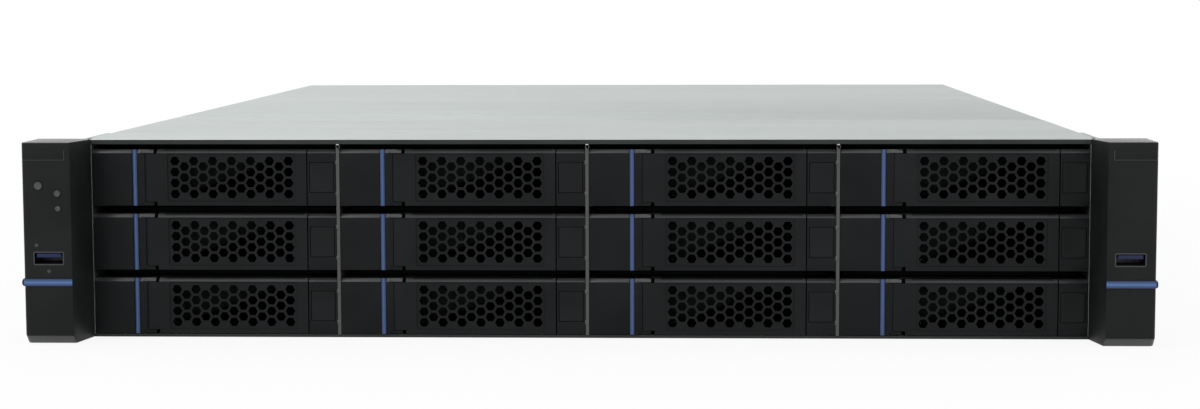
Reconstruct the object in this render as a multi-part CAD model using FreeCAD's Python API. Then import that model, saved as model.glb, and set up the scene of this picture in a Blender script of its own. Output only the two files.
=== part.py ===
import FreeCAD, Part
import math
import os

# 2U rack server with twelve hot-swap drives, millimetres.
# +X is the viewer's right from the front, +Y the rear, +Z up.
# The origin is at the middle of the underside of the chassis.

V = FreeCAD.Vector

# ------------------------------------------------------------ driving sizes

# Chassis: its width and height follow from the drives, its depth from what stands behind them
sheet = 1.2              # base, walls, rear panel
cover_sheet = 1.0        # both top covers
touch = 0.3              # gap between pieces that slide past each other

# Covers
front_cover_d = 148.0    # fixed cover over the drives
cover_seam = 0.6         # between the two covers
cover_strip_h = 10.0     # side strips of the main cover, inside the walls
cover_tongue = 7.0       # reach of the main cover under the fixed one
cover_tongue_root = 12.0
cover_tongue_inset = 20.0
tab_w = 18.0             # rear tabs of the main cover, with the thumbscrews
tab_h = 15.0
screw_r = 1.5
screw_len = 9.0
knob_r = 4.5
knob_len = 9.0
knob_sides = 12
pin_sides = 8

# Rack ears
ear_w = 22.0             # makes up the 482.6 of a 19 inch panel
rack_hole_side = 8.75    # hole centre from the ear's outer edge
rack_hole_end = 5.4      # hole centre from the ear's top and bottom
rack_hole_r = 3.5
ear_out = 23.0           # ear face ahead of the tray faces
ear_bevel = 2.0
ear_wall = 2.0
ear_foot_chamfer = 3.5
bracket_t = 2.0
bracket_len = 42.0
bracket_set_back = 2.0   # bracket face behind the tray faces
groove_drop = 7.5        # line across the ear face, from the top
groove_w = 0.6
groove_depth = 0.5
accent_z = 26.8          # blue strip
accent_h = 3.2
accent_depth = 1.2
accent_proud = 0.5
usb_z = 37.2
usb_w = 13.2
usb_h = 5.8
usb_depth = 14.0
usb_shell = 0.4
usb_tongue_h = 1.8
power_x = 7.2            # controls, from the outer edge and top of the left ear
power_drop = 18.5
power_r = 1.7
id_x = 15.4
id_drop = 21.8
id_r = 1.4
control_sides = 12
control_gap = 0.12       # radial, round buttons in their holes
control_len = 5.0
control_travel = 1.0

# Front cross-member
header_d = 9.0
header_round = 1.6

# Drive bays
columns = 4
rows = 3
divider_t = 1.2
liner_t = 1.0
cage_top_t = 1.2
roof_gap = 0.6           # top drives to the cage roof
drive_over = 0.4         # other drives to the ledges over them
row_gap = 3.7            # between tray faces, one over the other
ledge_t = 1.2
ledge_w = 1.5
backplane_t = 1.6
plug_gap = 0.3

# Drive tray
tray_gap = 0.3           # each side of a tray in its bay
tray_margin = 2.65       # rail beside the drive
bezel_d = 16.0
block_w = 21.6           # fixed block at the hinge end
catch_w = 12.4           # fixed block round the button
lever_bay_d = 9.0
frame_bar = 3.0
stripe_x = 17.5
stripe_w = 2.2
stripe_depth = 1.0
stripe_proud = 0.2
sled_sheet = 1.2
sled_drop = 4.5          # sled below the top of the tray face
foot_h = 2.0
drive_w = 101.6          # 3.5 inch drive
drive_l = 147.0
drive_h = 26.1
drive_lift = 0.2
drive_stop = 0.8         # between the sled's front plate and the drive

# Tray lever
lever_end_gap = 0.5
panel_t = 2.0
barrel_r = 2.4
barrel_heel = 1.0        # flat flank behind the rounded hinge end
hinge_gap = 0.4
pin_r = 1.0
pin_clear = 0.08
lug_t = 1.6
lug_nose = 1.9
panel_start = 4.0        # full-height panel, right of the pin
rib_start = 7.0
rib_t = 1.2
rib_d = 5.0
recess_left = 11.2       # sunk grille field, from the lever's ends
recess_right = 5.0
recess_margin = 0.8
recess_depth = 0.5
hex_rows = 2
hex_web = 1.7            # between holes
tooth_w = 2.0
tooth_h = 8.0
tooth_inset = 1.5

# Tray button
button_w = 10.4
button_h = 13.0
button_gap = 0.2
button_d = 8.0
button_travel = 1.5
button_stop = 1.5        # left behind the pressed button

# Backplane
plug_w = 42.0
plug_h = 8.0
plug_drop = 6.0          # plug centre above the underside of the drive
plug_d = 8.0
window_w = 60.0
window_h = 9.0

# Fans
fan_count = 4
fan_t = 38.0
fan_wall = 2.5           # duct to the side of the frame
fan_lift = 1.5
fan_over = 3.3           # frame to cover
fan_side = 21.8          # outer fans to the chassis walls
duct_sides = 16
fan_after_backplane = 9.0
blade_gap = 0.9
blade_count = 5
blade_t = 2.0
blade_angle = 38.0
blade_chord = 26.0
hub_r = 17.0
hub_len = 28.0
hub_sides = 10
spider_t = 4.0           # rear struts and motor seat
motor_gap = 0.3
strut_w = 4.0

# Boards
board_t = 1.6
board_lift = 6.5         # standoffs
board_after_fans = 39.9
side_bay_w = 42.9        # between power supplies and board
board_rear_gap = 7.0
board_right_gap = 10.8
standoff_r = 3.0
standoff_in = 10.0       # from the board's edges
socket_w = 60.0
socket_d = 78.0
socket_h = 6.0
cpu_from_front = 92.0    # processor centres from the board's front edge
sink_w = 70.0
sink_d = 98.0
sink_over = 8.7          # heatsink to cover
sink_base = 6.0
fin_count = 12
fin_t = 0.8
dimm_bank = 4
dimm_side = 3.8          # bank to heatsink, and to the bank of the other processor
dimm_l = 133.4
dimm_h = 30.0
dimm_t = 3.4
dimm_socket_w = 6.0
dimm_socket_l = 142.0
dimm_socket_h = 8.0
slots_after_dimms = 38.2
slot_count = 7
slot_pitch = 20.32
slot_w = 7.4
slot_l = 89.0
slot_h = 11.0
slot_end = 39.8          # slots to the board's rear edge
slot_side = 10.1         # last slot from the board's left edge

# Rear panel
io_gap = 5.0             # between slot covers and port window
io_h = 44.5
io_below_board = 2.4
slot_open_w = 14.5
slot_open_z = 11.0
slot_over = 8.0          # slot openings to the top of the chassis
cover_plate_w = 18.4
cover_plate_lap = 3.0
cover_plate_t = 0.9
vent_rows = 8
vent_side = 8.4          # vents to the sides of the side bay
vent_h = 3.6
vent_pitch = 6.6
vent_z = 12.0

# Rear ports, with the stamped shield round them
shield_t = 0.8
shield_lap = 2.5
mouth_gap = 0.4          # shield round a port
jack_w = 11.8            # network port
jack_h = 8.6
jack_depth = 12.0
jack_wall = 2.0
jack_count = 3
stack_w = 13.2           # pair of USB ports, one over the other
stack_h = 5.8
stack_pitch = 8.2
stack_depth = 12.0
stack_wall = 1.0
stack_count = 2
screen_w = 17.0          # screen port: shell, plate and nuts
screen_h = 8.4
screen_taper = 1.6
screen_out = 5.5
screen_wall = 0.8
screen_floor = 1.0       # insulator inside the shell, above the plate
screen_plate_w = 31.0
screen_plate_h = 12.4
screen_plate_t = 1.0
nut_r = 2.6
nut_len = 5.0
nut_x = 12.5
port_lift = 2.0          # ports above the board

# Power supplies
psu_w = 73.5
psu_d = 185.0
psu_over = 2.9           # upper supply to cover
psu_gap = 0.3
psu_shelf = 1.0
inlet_side = 6.5         # case edge to inlet
inlet_w = 24.0
inlet_h = 16.0
inlet_depth = 16.0
inlet_pin_w = 2.0
inlet_pin_h = 4.0
inlet_pin_set = 3.0      # pin ends behind the mouth
inlet_pins = [(-7.0, -2.0), (0.0, 2.0), (7.0, -2.0)]
psu_vent_side = 12.0     # case edge to air slots
psu_vent_w = 30.0
psu_vent_rows = 5
psu_vent_margin = 3.0
psu_vent_depth = 3.0
psu_bar = 2.4
handle_out = 22.0
handle_t = 3.0
handle_w = 26.0
handle_h = 10.0
latch_side = 2.0         # case edge to release tab
latch_h = 12.0
latch_in = 11.7
latch_out = 12.0
latch_t = 2.0
latch_travel = 2.5
pdb_t = 2.0
pdb_gap = 6.0

# ------------------------------------------------------------ derived places

# Trays and bays
tray_w = drive_w + 2 * tray_margin
bay_w = tray_w + 2 * tray_gap
tray_z0 = sheet + tray_gap
row_pitch = drive_lift + drive_h + drive_over + ledge_t + tray_gap
face_h = row_pitch - row_gap
sled_h = face_h - sled_drop
drive_y0 = bezel_d + sled_sheet + drive_stop
pivot_x = block_w + hinge_gap + barrel_r
pivot_y = barrel_r
button_pocket_d = button_d + button_travel + button_stop
lever_x0 = block_w + hinge_gap
lever_x1 = tray_w - catch_w - lever_end_gap
hex_pitch = (face_h - 2 * recess_margin) / (hex_rows + 0.5)
hex_flats = hex_pitch - hex_web

# Width and height over all
inner_x = liner_t + (columns * bay_w + (columns - 1) * divider_t) / 2
chassis_w = 2 * (inner_x + sheet)
cage_top_z = tray_z0 + (rows - 1) * row_pitch + drive_lift + drive_h + roof_gap
cover_z = cage_top_z + cage_top_t
chassis_h = cover_z + cover_sheet
rack_w = chassis_w + 2 * (touch + ear_w)
ear_x0 = chassis_w / 2 + touch
ear_x1 = rack_w / 2

# Depth, from the tray faces backwards
backplane_in = drive_y0 + drive_l + plug_gap + plug_d
fan_in = backplane_in + backplane_t + fan_after_backplane
board_in = fan_in + fan_t + board_after_fans
board_d = cpu_from_front + dimm_socket_l / 2 + slots_after_dimms + slot_l + slot_end
chassis_d = board_in + board_d + board_rear_gap + sheet
front_y = -chassis_d / 2
rear_y = chassis_d / 2
bracket_y = front_y + bracket_set_back
backplane_y = front_y + backplane_in
plug_y = backplane_y - plug_d
fan_y = front_y + fan_in
fan_size = cover_z - sheet - fan_lift - fan_over
fan_bore_r = fan_size / 2 - fan_wall
fan_pitch = (2 * (inner_x - fan_side) - fan_size) / (fan_count - 1)

# Power supplies and board
psu_h = (cover_z - psu_over - sheet - 3 * psu_gap - psu_shelf) / 2
psu_x0 = -inner_x + cover_sheet + 3 * touch
psu_x1 = psu_x0 + psu_w
psu_y0 = rear_y - psu_d
psu_z = [sheet + psu_gap, sheet + psu_h + 3 * psu_gap + psu_shelf]
side_x0 = psu_x1 + psu_gap + sheet
side_x1 = side_x0 + side_bay_w
board_x0 = side_x1
board_x1 = inner_x - board_right_gap
board_w = board_x1 - board_x0
board_y0 = front_y + board_in
board_y1 = board_y0 + board_d
board_z = sheet + board_lift
board_top = board_z + board_t
dimm_pitch = (board_w / 4 - sink_w / 2 - 2 * dimm_side) / dimm_bank
sink_h = cover_z - sink_over - board_top - socket_h

# Rear openings
port_y = rear_y - sheet - shield_t
io_x0 = board_x0 + slot_side + (slot_count - 1) * slot_pitch + cover_plate_w / 2 + io_gap
io_x1 = board_x1
io_z0 = board_top - io_below_board
slot_open_h = chassis_h - slot_open_z - slot_over


# ------------------------------------------------------------ helpers

def box(x0, x1, y0, y1, z0, z1):
    return Part.makeBox(x1 - x0, y1 - y0, z1 - z0, V(x0, y0, z0))


def prism(points, along):
    """A flat outline pushed along a vector."""
    face = Part.Face(Part.makePolygon(points + [points[0]]))
    return face.extrude(along)


def rod(radius, start, along):
    return Part.makeCylinder(radius, along.Length, start, along)


def faceted_rod(radius, sides, start, along):
    """A bar with flats, inside a circle of the given radius: hexagon stock, small pins, hubs."""
    axis = V(along).normalize()
    first = V(1, 0, 0) if abs(axis.x) < 0.5 else V(0, 1, 0)
    second = axis.cross(first)
    points = []
    for corner in range(sides):
        turn = 2 * math.pi * (corner + 0.5) / sides
        points.append(start + first * (radius * math.cos(turn)) + second * (radius * math.sin(turn)))
    return prism(points, along)


def join(shapes):
    body = shapes[0].fuse(shapes[1:])
    return body.removeSplitter()


def mirror_x(shape):
    return shape.mirror(V(0, 0, 0), V(1, 0, 0))


def export(shapes, name):
    body = shapes[0] if len(shapes) == 1 else Part.makeCompound(shapes)
    body.exportStep("parts/" + name + ".step")


def bay_x(column):
    """Left edge of the tray in a column."""
    return -inner_x + liner_t + tray_gap + column * (bay_w + divider_t)


def bay_z(row):
    """Underside of the tray in a row, row 0 the lowest."""
    return tray_z0 + row * row_pitch


# ------------------------------------------------------------ chassis

def chassis_base():
    floor = box(-chassis_w / 2, chassis_w / 2, front_y, rear_y, 0, sheet)
    wall = box(inner_x, chassis_w / 2, front_y, rear_y, 0, cover_z)
    partition = box(psu_x1 + psu_gap, psu_x1 + psu_gap + sheet, psu_y0, rear_y - sheet,
                    0, psu_z[1] + psu_h)
    shelf = box(-inner_x, psu_x1 + psu_gap, psu_y0, rear_y,
                psu_z[1] - psu_gap - psu_shelf, psu_z[1] - psu_gap)
    return join([floor, wall, mirror_x(wall), partition, shelf])


def front_cover():
    plate = box(-chassis_w / 2, chassis_w / 2, front_y + header_d, front_y + front_cover_d,
                cover_z, chassis_h)
    return plate


def header():
    """Dark cross-member over the trays, with a rounded upper edge."""
    z0 = cage_top_z
    centre_y = front_y + header_round
    centre_z = chassis_h - header_round
    slant = header_round * math.sqrt(0.5)
    a = V(0, front_y, z0)
    b = V(0, front_y, centre_z)
    mid = V(0, centre_y - slant, centre_z + slant)
    c = V(0, centre_y, chassis_h)
    d = V(0, front_y + header_d, chassis_h)
    e = V(0, front_y + header_d, z0)
    edges = [Part.makeLine(a, b), Part.Arc(b, mid, c).toShape(), Part.makeLine(c, d),
             Part.makeLine(d, e), Part.makeLine(e, a)]
    bar = Part.Face(Part.Wire(edges)).extrude(V(2 * inner_x, 0, 0))
    return bar.translated(V(-inner_x, 0, 0))


def main_cover():
    """Top sheet with tongue, rear tabs and thumbscrews, and the two side strips welded under it."""
    y0 = front_y + front_cover_d + cover_seam
    plate = box(-chassis_w / 2, chassis_w / 2, y0, rear_y, cover_z, chassis_h)
    tongue = box(-inner_x + cover_tongue_inset, inner_x - cover_tongue_inset,
                 y0 - cover_seam - cover_tongue, y0 + cover_tongue_root,
                 cover_z - cover_sheet, cover_z)
    body = [plate, tongue]
    for x in tab_places():
        tab = box(x - tab_w / 2, x + tab_w / 2, rear_y, rear_y + cover_sheet,
                  chassis_h - tab_h, chassis_h)
        z = chassis_h - tab_h / 2
        shank = faceted_rod(screw_r, pin_sides, V(x, rear_y - screw_len, z), V(0, screw_len, 0))
        knob = faceted_rod(knob_r, knob_sides, V(x, rear_y + cover_sheet, z), V(0, knob_len, 0))
        body += [tab, shank, knob]
    strip_x = inner_x - touch
    strip = box(strip_x - cover_sheet, strip_x, backplane_y + backplane_t + touch, rear_y,
                chassis_h - cover_strip_h, cover_z)
    return [join(body), strip, mirror_x(strip)]


def tab_places():
    """Thumbscrews of the main cover, left and right of the slots."""
    return [(side_x0 + side_x1) / 2, (io_x0 + io_x1) / 2]


# ------------------------------------------------------------ rack ears

def ear_outline(z0, z1):
    """The right ear in plan, pushed up from z0 to z1."""
    face = front_y - ear_out
    points = [V(ear_x0, bracket_y, z0), V(ear_x1, bracket_y, z0),
              V(ear_x1, face + ear_bevel, z0), V(ear_x1 - ear_bevel / 3, face, z0),
              V(ear_x0 + ear_bevel / 2, face, z0),
              V(inner_x - liner_t, front_y - touch, z0), V(ear_x0, front_y - touch, z0)]
    return prism(points, V(0, 0, z1 - z0))


def ear_shell():
    """Hollow plastic cover of the right ear, open to the bracket behind it."""
    face = front_y - ear_out
    shell = ear_outline(0, chassis_h)
    foot = prism([V(0, face - 1, -1), V(0, face + ear_foot_chamfer, -1),
                  V(0, face + ear_foot_chamfer, 0), V(0, face, ear_foot_chamfer),
                  V(0, face - 1, ear_foot_chamfer)], V(rack_w, 0, 0))
    hollow = box(ear_x0 + ear_wall, ear_x1 - ear_wall, face + ear_wall + ear_foot_chamfer,
                 bracket_y + 1, ear_wall, chassis_h - ear_wall)
    groove_z = chassis_h - groove_drop
    groove = box(ear_x0, ear_x1 + 1, face - 1, face + groove_depth,
                 groove_z, groove_z + groove_w)
    accent = accent_strip(0)
    usb = box(usb_x() - usb_w / 2, usb_x() + usb_w / 2, face - 1, face + usb_depth,
              usb_z - usb_h / 2, usb_z + usb_h / 2)
    return shell.cut([foot, hollow, groove, accent, usb])


def accent_strip(proud):
    """Strip that wraps the face and the outer side of the ear."""
    face = front_y - ear_out
    z0 = accent_z - accent_h / 2
    outer = ear_x1 + proud
    front = box(ear_x0 + ear_bevel / 2, outer, face - proud, face + accent_depth,
                z0, z0 + accent_h)
    side = box(ear_x1 - accent_depth, outer, face - proud, bracket_y, z0, z0 + accent_h)
    return join([front, side])


def usb_x():
    return (ear_x0 + ear_x1) / 2


def usb_socket():
    face = front_y - ear_out
    x0 = usb_x() - usb_w / 2
    x1 = usb_x() + usb_w / 2
    z0 = usb_z - usb_h / 2
    z1 = usb_z + usb_h / 2
    can = box(x0, x1, face, face + usb_depth, z0, z1)
    mouth = box(x0 + usb_shell, x1 - usb_shell, face - 1, face + usb_depth - usb_shell,
                z0 + usb_shell, z1 - usb_shell)
    tongue = box(x0 + 3 * usb_shell, x1 - 3 * usb_shell, face + usb_shell, face + usb_depth,
                 z1 - usb_shell - usb_tongue_h - usb_shell, z1 - 2 * usb_shell)
    return join([can.cut(mouth), tongue])


def ear_bracket():
    """Steel angle: the flange takes the rack, the leg lies on the chassis wall."""
    flange = box(chassis_w / 2, ear_x1, bracket_y, bracket_y + bracket_t, 0, chassis_h)
    leg = box(chassis_w / 2, chassis_w / 2 + bracket_t, bracket_y, bracket_y + bracket_len,
              0, chassis_h)
    holes = []
    for z in (rack_hole_end, chassis_h - rack_hole_end):
        holes.append(rod(rack_hole_r, V(ear_x1 - rack_hole_side, bracket_y - 1, z),
                         V(0, bracket_t + 2, 0)))
    return join([flange, leg]).cut(holes)


def control_hole(x, z, radius):
    face = front_y - ear_out
    return faceted_rod(radius / math.cos(math.pi / control_sides), control_sides,
                       V(x, face - 1, z), V(0, ear_wall + ear_foot_chamfer + 2, 0))


def control(x, z, radius, proud):
    face = front_y - ear_out
    return faceted_rod(radius, control_sides, V(x, face - proud, z),
                       V(0, control_len + proud, 0))


def ears():
    shell = ear_shell()
    fittings = [accent_strip(accent_proud), usb_socket(), ear_bracket()]
    export([shell] + fittings, "ear_right")
    power = -ear_x1 + power_x
    ident = -ear_x1 + id_x
    power_z = chassis_h - power_drop
    id_z = chassis_h - id_drop
    holes = [control_hole(power, power_z, power_r + control_gap),
             control_hole(ident, id_z, id_r + control_gap)]
    left = mirror_x(shell).cut(holes)
    export([left] + [mirror_x(piece) for piece in fittings], "ear_left")
    export([control(power, power_z, power_r, control_travel)], "power_button")
    export([control(ident, id_z, id_r, control_travel)], "id_button")


# ------------------------------------------------------------ drive cage

def drive_cage():
    y1 = backplane_y
    top = cage_top_z
    plates = [box(-inner_x, -inner_x + liner_t, front_y, y1, sheet, top),
              box(inner_x - liner_t, inner_x, front_y, y1, sheet, top)]
    for column in range(1, columns):
        x = bay_x(column) - tray_gap - divider_t
        plates.append(box(x, x + divider_t, front_y, y1, sheet, top))
    roof_y1 = front_y + front_cover_d - cover_tongue - touch
    plates.append(box(-inner_x, inner_x, front_y + header_d, roof_y1, top, cover_z))
    for column in range(columns):
        left = bay_x(column) - tray_gap
        right = left + bay_w
        for row in range(1, rows):
            z1 = bay_z(row) - tray_gap
            y0 = front_y + bezel_d
            plates.append(box(left, left + ledge_w, y0, y1, z1 - ledge_t, z1))
            plates.append(box(right - ledge_w, right, y0, y1, z1 - ledge_t, z1))
    return join(plates)


def backplane():
    board = box(-inner_x + liner_t, inner_x - liner_t, backplane_y, backplane_y + backplane_t,
                sheet, cover_z - cover_sheet - touch)
    windows = []
    plugs = []
    for column in range(columns):
        for row in range(rows):
            centre = bay_x(column) + tray_w / 2
            z = bay_z(row) + drive_lift + plug_drop
            plugs.append(box(centre - plug_w / 2, centre + plug_w / 2, plug_y, backplane_y,
                             z - plug_h / 2, z + plug_h / 2))
            z0 = z + plug_h
            windows.append(box(centre - window_w / 2, centre + window_w / 2,
                               backplane_y - 1, backplane_y + backplane_t + 1,
                               z0, z0 + window_h))
    return [board.cut(windows)] + plugs


# ------------------------------------------------------------ drive trays
# Local frame of a tray: left edge, face plane, underside of the face.

def tray_bezel():
    body = box(0, tray_w, 0, bezel_d, 0, face_h)
    bay_x0 = block_w
    bay_x1 = tray_w - catch_w
    lever_bay = box(bay_x0, bay_x1, -1, lever_bay_d, -1, face_h + 1)
    window = box(bay_x0 + frame_bar, bay_x1 - frame_bar, lever_bay_d - 1, bezel_d + 1,
                 frame_bar, face_h - frame_bar)
    centre_x = tray_w - catch_w / 2
    pocket_w = button_w / 2 + button_gap
    pocket_h = button_h / 2 + button_gap
    pocket = box(centre_x - pocket_w, centre_x + pocket_w, -1, button_pocket_d,
                 face_h / 2 - pocket_h, face_h / 2 + pocket_h)
    slot = box(stripe_x, stripe_x + stripe_w, -1, stripe_depth, -1, face_h + 1)
    body = body.cut([lever_bay, window, pocket, slot])
    lug = box(bay_x0, pivot_x + barrel_r, pivot_y - lug_nose, lever_bay_d, 0, lug_t)
    eye_r = (pin_r + pin_clear) / math.cos(math.pi / pin_sides)
    lug = lug.cut(faceted_rod(eye_r, pin_sides, V(pivot_x, pivot_y, -1), V(0, 0, lug_t + 2)))
    upper = lug.translated(V(0, 0, face_h - lug_t))
    return join([body, lug, upper])


def tray_sled():
    """Sheet steel frame behind the bezel: a front plate and two side rails."""
    rail = prism([V(0, bezel_d, 0), V(tray_margin, bezel_d, 0), V(tray_margin, bezel_d, sled_h),
                  V(tray_margin - sled_sheet, bezel_d, sled_h),
                  V(tray_margin - sled_sheet, bezel_d, foot_h), V(0, bezel_d, foot_h)],
                 V(0, drive_y0 + drive_l - bezel_d, 0))
    middle = V(tray_w / 2, 0, 0)
    other = rail.mirror(middle, V(1, 0, 0))
    plate = box(tray_margin - sled_sheet, tray_w - tray_margin + sled_sheet,
                bezel_d, bezel_d + sled_sheet, 0, sled_h)
    window = box(block_w + frame_bar, tray_w - catch_w - frame_bar, bezel_d - 1,
                 bezel_d + sled_sheet + 1, frame_bar, sled_h - frame_bar)
    return join([rail, other, plate.cut(window)])


def tray_drive():
    return box(tray_margin, tray_margin + drive_w, drive_y0, drive_y0 + drive_l,
               drive_lift, drive_lift + drive_h)


def tray_stripe():
    return box(stripe_x, stripe_x + stripe_w, -stripe_proud, stripe_depth, 0, face_h)


def hex_hole(x, z):
    radius = hex_flats / math.sqrt(3)
    points = []
    for corner in range(6):
        turn = math.radians(60 * corner)
        points.append(V(x + radius * math.cos(turn), -1, z + radius * math.sin(turn)))
    return prism(points, V(0, panel_t + 2, 0))


def honeycomb():
    """Columns of hexagonal holes, each column half a pitch off its neighbours."""
    step = hex_pitch * math.sqrt(3) / 2
    width = lever_x1 - recess_right - lever_x0 - recess_left
    hex_columns = 1 + int((width - 2 * hex_flats / math.sqrt(3)) / step)
    first = lever_x0 + recess_left + (width - step * (hex_columns - 1)) / 2
    holes = []
    for column in range(hex_columns):
        shift = (0.5 if column % 2 else 0.0) - hex_rows / 2 + 0.25
        for row in range(hex_rows):
            z = face_h / 2 + (row + shift) * hex_pitch
            holes.append(hex_hole(first + column * step, z))
    return holes


def lever_barrel(low, high):
    """Hinge end of the lever: half round about the pin, with flat flanks into the panel."""
    y0 = pivot_y - barrel_r
    y1 = pivot_y + barrel_r
    heel = pivot_x + barrel_heel
    arc = Part.Arc(V(pivot_x, y0, low), V(pivot_x - barrel_r, pivot_y, low), V(pivot_x, y1, low))
    edges = [arc.toShape(),
             Part.makeLine(V(pivot_x, y1, low), V(heel, y1, low)),
             Part.makeLine(V(heel, y1, low), V(heel, y0, low)),
             Part.makeLine(V(heel, y0, low), V(pivot_x, y0, low))]
    return Part.Face(Part.Wire(edges)).extrude(V(0, 0, high - low))


def tray_lever():
    low = lug_t + hinge_gap / 2
    high = face_h - low
    barrel = lever_barrel(low, high)
    pins = faceted_rod(pin_r, pin_sides, V(pivot_x, pivot_y, hinge_gap),
                       V(0, 0, face_h - 2 * hinge_gap))
    neck = box(pivot_x, pivot_x + panel_start, 0, panel_t, low, high)
    panel = box(pivot_x + panel_start, lever_x1, 0, panel_t, 0, face_h)
    rib = box(pivot_x + rib_start, lever_x1 - tooth_inset, panel_t, panel_t + rib_d, 0, rib_t)
    upper = rib.translated(V(0, 0, face_h - rib_t))
    tooth = box(lever_x1 - tooth_inset - tooth_w, lever_x1 - tooth_inset,
                panel_t, panel_t + rib_d, (face_h - tooth_h) / 2, (face_h + tooth_h) / 2)
    recess = box(lever_x0 + recess_left, lever_x1 - recess_right, -1, recess_depth,
                 recess_margin, face_h - recess_margin)
    body = join([barrel, pins, neck, panel, rib, upper, tooth])
    return body.cut([recess] + honeycomb())


def tray_button():
    centre_x = tray_w - catch_w / 2
    return box(centre_x - button_w / 2, centre_x + button_w / 2, 0, button_d,
               (face_h - button_h) / 2, (face_h + button_h) / 2)


def trays():
    tray = [tray_bezel(), tray_stripe(), tray_sled(), tray_drive()]
    lever = tray_lever()
    button = tray_button()
    for column in range(columns):
        for row in range(rows):
            place = V(bay_x(column), front_y, bay_z(row))
            name = "_r{}_c{}".format(row + 1, column + 1)
            export([piece.translated(place) for piece in tray], "tray" + name)
            export([lever.translated(place)], "lever" + name)
            export([button.translated(place)], "button" + name)


# ------------------------------------------------------------ fans

def fan_x(index):
    return (index - (fan_count - 1) / 2) * fan_pitch


def fan_z():
    return sheet + fan_lift + fan_size / 2


def fan_frame(x):
    """Square housing with a round duct, and a rear spider that carries the motor."""
    z = fan_z()
    half = fan_size / 2
    y1 = fan_y + fan_t
    y0 = y1 - spider_t
    housing = box(x - half, x + half, fan_y, y0, sheet, z + half)
    duct = faceted_rod(fan_bore_r / math.cos(math.pi / duct_sides), duct_sides,
                       V(x, fan_y - 1, z), V(0, fan_t, 0))
    across = box(x - half, x + half, y0, y1, z - strut_w / 2, z + strut_w / 2)
    seat = faceted_rod(hub_r, pin_sides, V(x, y0, z), V(0, spider_t, 0))
    return join([housing.cut(duct), across, seat])


def fan_rotor(x):
    """Hub with pitched blades, turning in the duct."""
    z = fan_z()
    y1 = fan_y + fan_t - spider_t - motor_gap
    y0 = y1 - hub_len
    hub = faceted_rod(hub_r, hub_sides, V(x, y0, z), V(0, hub_len, 0))
    pitch = math.radians(blade_angle)
    half_width = (blade_chord * math.cos(pitch) + blade_t * math.sin(pitch)) / 2
    tip = math.sqrt((fan_bore_r - blade_gap) ** 2 - half_width ** 2)
    centre = V(x, (y0 + y1) / 2, z)
    blades = []
    for index in range(blade_count):
        plate = box(-blade_chord / 2, blade_chord / 2, -blade_t / 2, blade_t / 2, hub_r / 2, tip)
        plate.rotate(V(0, 0, 0), V(0, 0, 1), blade_angle)
        plate.rotate(V(0, 0, 0), V(0, 1, 0), 360.0 * index / blade_count)
        plate.translate(centre)
        blades.append(plate)
    return join([hub] + blades)


def fans():
    export([fan_frame(fan_x(index)) for index in range(fan_count)], "fan_frames")
    for index in range(fan_count):
        export([fan_rotor(fan_x(index))], "fan_rotor_{}".format(index + 1))


# ------------------------------------------------------------ boards

def cpu_places():
    y = board_y0 + cpu_from_front
    return [V(board_x0 + board_w / 4, y, board_top), V(board_x1 - board_w / 4, y, board_top)]


def dimm_places():
    """Centre lines of the memory modules, a bank on either side of each processor."""
    places = []
    first = sink_w / 2 + dimm_side + dimm_pitch / 2
    for cpu in cpu_places():
        for side in (-1, 1):
            for index in range(dimm_bank):
                x = cpu.x + side * (first + index * dimm_pitch)
                places.append(V(x, cpu.y, board_top))
    return places


def slot_x(index):
    """Centre line of an expansion slot, slot 0 next to the port window."""
    return board_x0 + slot_side + (slot_count - 1 - index) * slot_pitch


def standoffs():
    posts = []
    for x in (board_x0 + standoff_in, board_x1 - standoff_in):
        for y in (board_y0 + standoff_in, (board_y0 + board_y1) / 2, board_y1 - standoff_in):
            posts.append(faceted_rod(standoff_r, 6, V(x, y, sheet), V(0, 0, board_lift)))
    return posts


def block(centre, w, d, h):
    """A box standing on a point, w across, d deep and h high."""
    return box(centre.x - w / 2, centre.x + w / 2, centre.y - d / 2, centre.y + d / 2,
               centre.z, centre.z + h)


def port_widths():
    return ([jack_w + 2 * jack_wall] * jack_count + [stack_w + 2 * stack_wall] * stack_count
            + [screen_plate_w])


def port_places():
    """Centre lines of the rear ports, spread evenly over the port window."""
    widths = port_widths()
    gap = (io_x1 - io_x0 - sum(widths)) / (len(widths) + 1)
    places = []
    x = io_x0
    for width in widths:
        places.append(x + gap + width / 2)
        x += gap + width
    return places


def port_mouths():
    """Centre line, width, underside and height of every hole through the shield."""
    places = port_places()
    z = board_top + port_lift
    mouths = [(x, jack_w, z, jack_h) for x in places[:jack_count]]
    for x in places[jack_count:-1]:
        mouths += [(x, stack_w, z, stack_h), (x, stack_w, z + stack_pitch, stack_h)]
    return mouths


def mouth(x, w, z, h, y0, y1, gap):
    return box(x - w / 2 - gap, x + w / 2 + gap, y0, y1, z - gap, z + h + gap)


def jack(x):
    """Network port: a housing with an open mouth."""
    z = board_top + port_lift
    body = box(x - jack_w / 2 - jack_wall, x + jack_w / 2 + jack_wall,
               port_y - jack_depth - jack_wall, port_y, board_top, z + jack_h + jack_wall)
    return body.cut(mouth(x, jack_w, z, jack_h, port_y - jack_depth, port_y + 1, 0))


def stack(x):
    """Two USB ports in one shell."""
    z = board_top + port_lift
    top = z + stack_pitch + stack_h + stack_wall
    body = box(x - stack_w / 2 - stack_wall, x + stack_w / 2 + stack_wall,
               port_y - stack_depth - stack_wall, port_y, board_top, top)
    for level in (z, z + stack_pitch):
        body = body.cut(mouth(x, stack_w, level, stack_h, port_y - stack_depth, port_y + 1, 0))
    return body


def screen_outline(x, inset, y, along):
    """D-shaped outline of the screen port."""
    half = screen_w / 2 - inset
    low = half - screen_taper
    mid = board_top + port_lift + screen_plate_h / 2
    z0 = mid - screen_h / 2 + inset
    z1 = mid + screen_h / 2 - inset
    return prism([V(x - low, y, z0), V(x + low, y, z0), V(x + half, y, z1), V(x - half, y, z1)],
                 V(0, along, 0))


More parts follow.
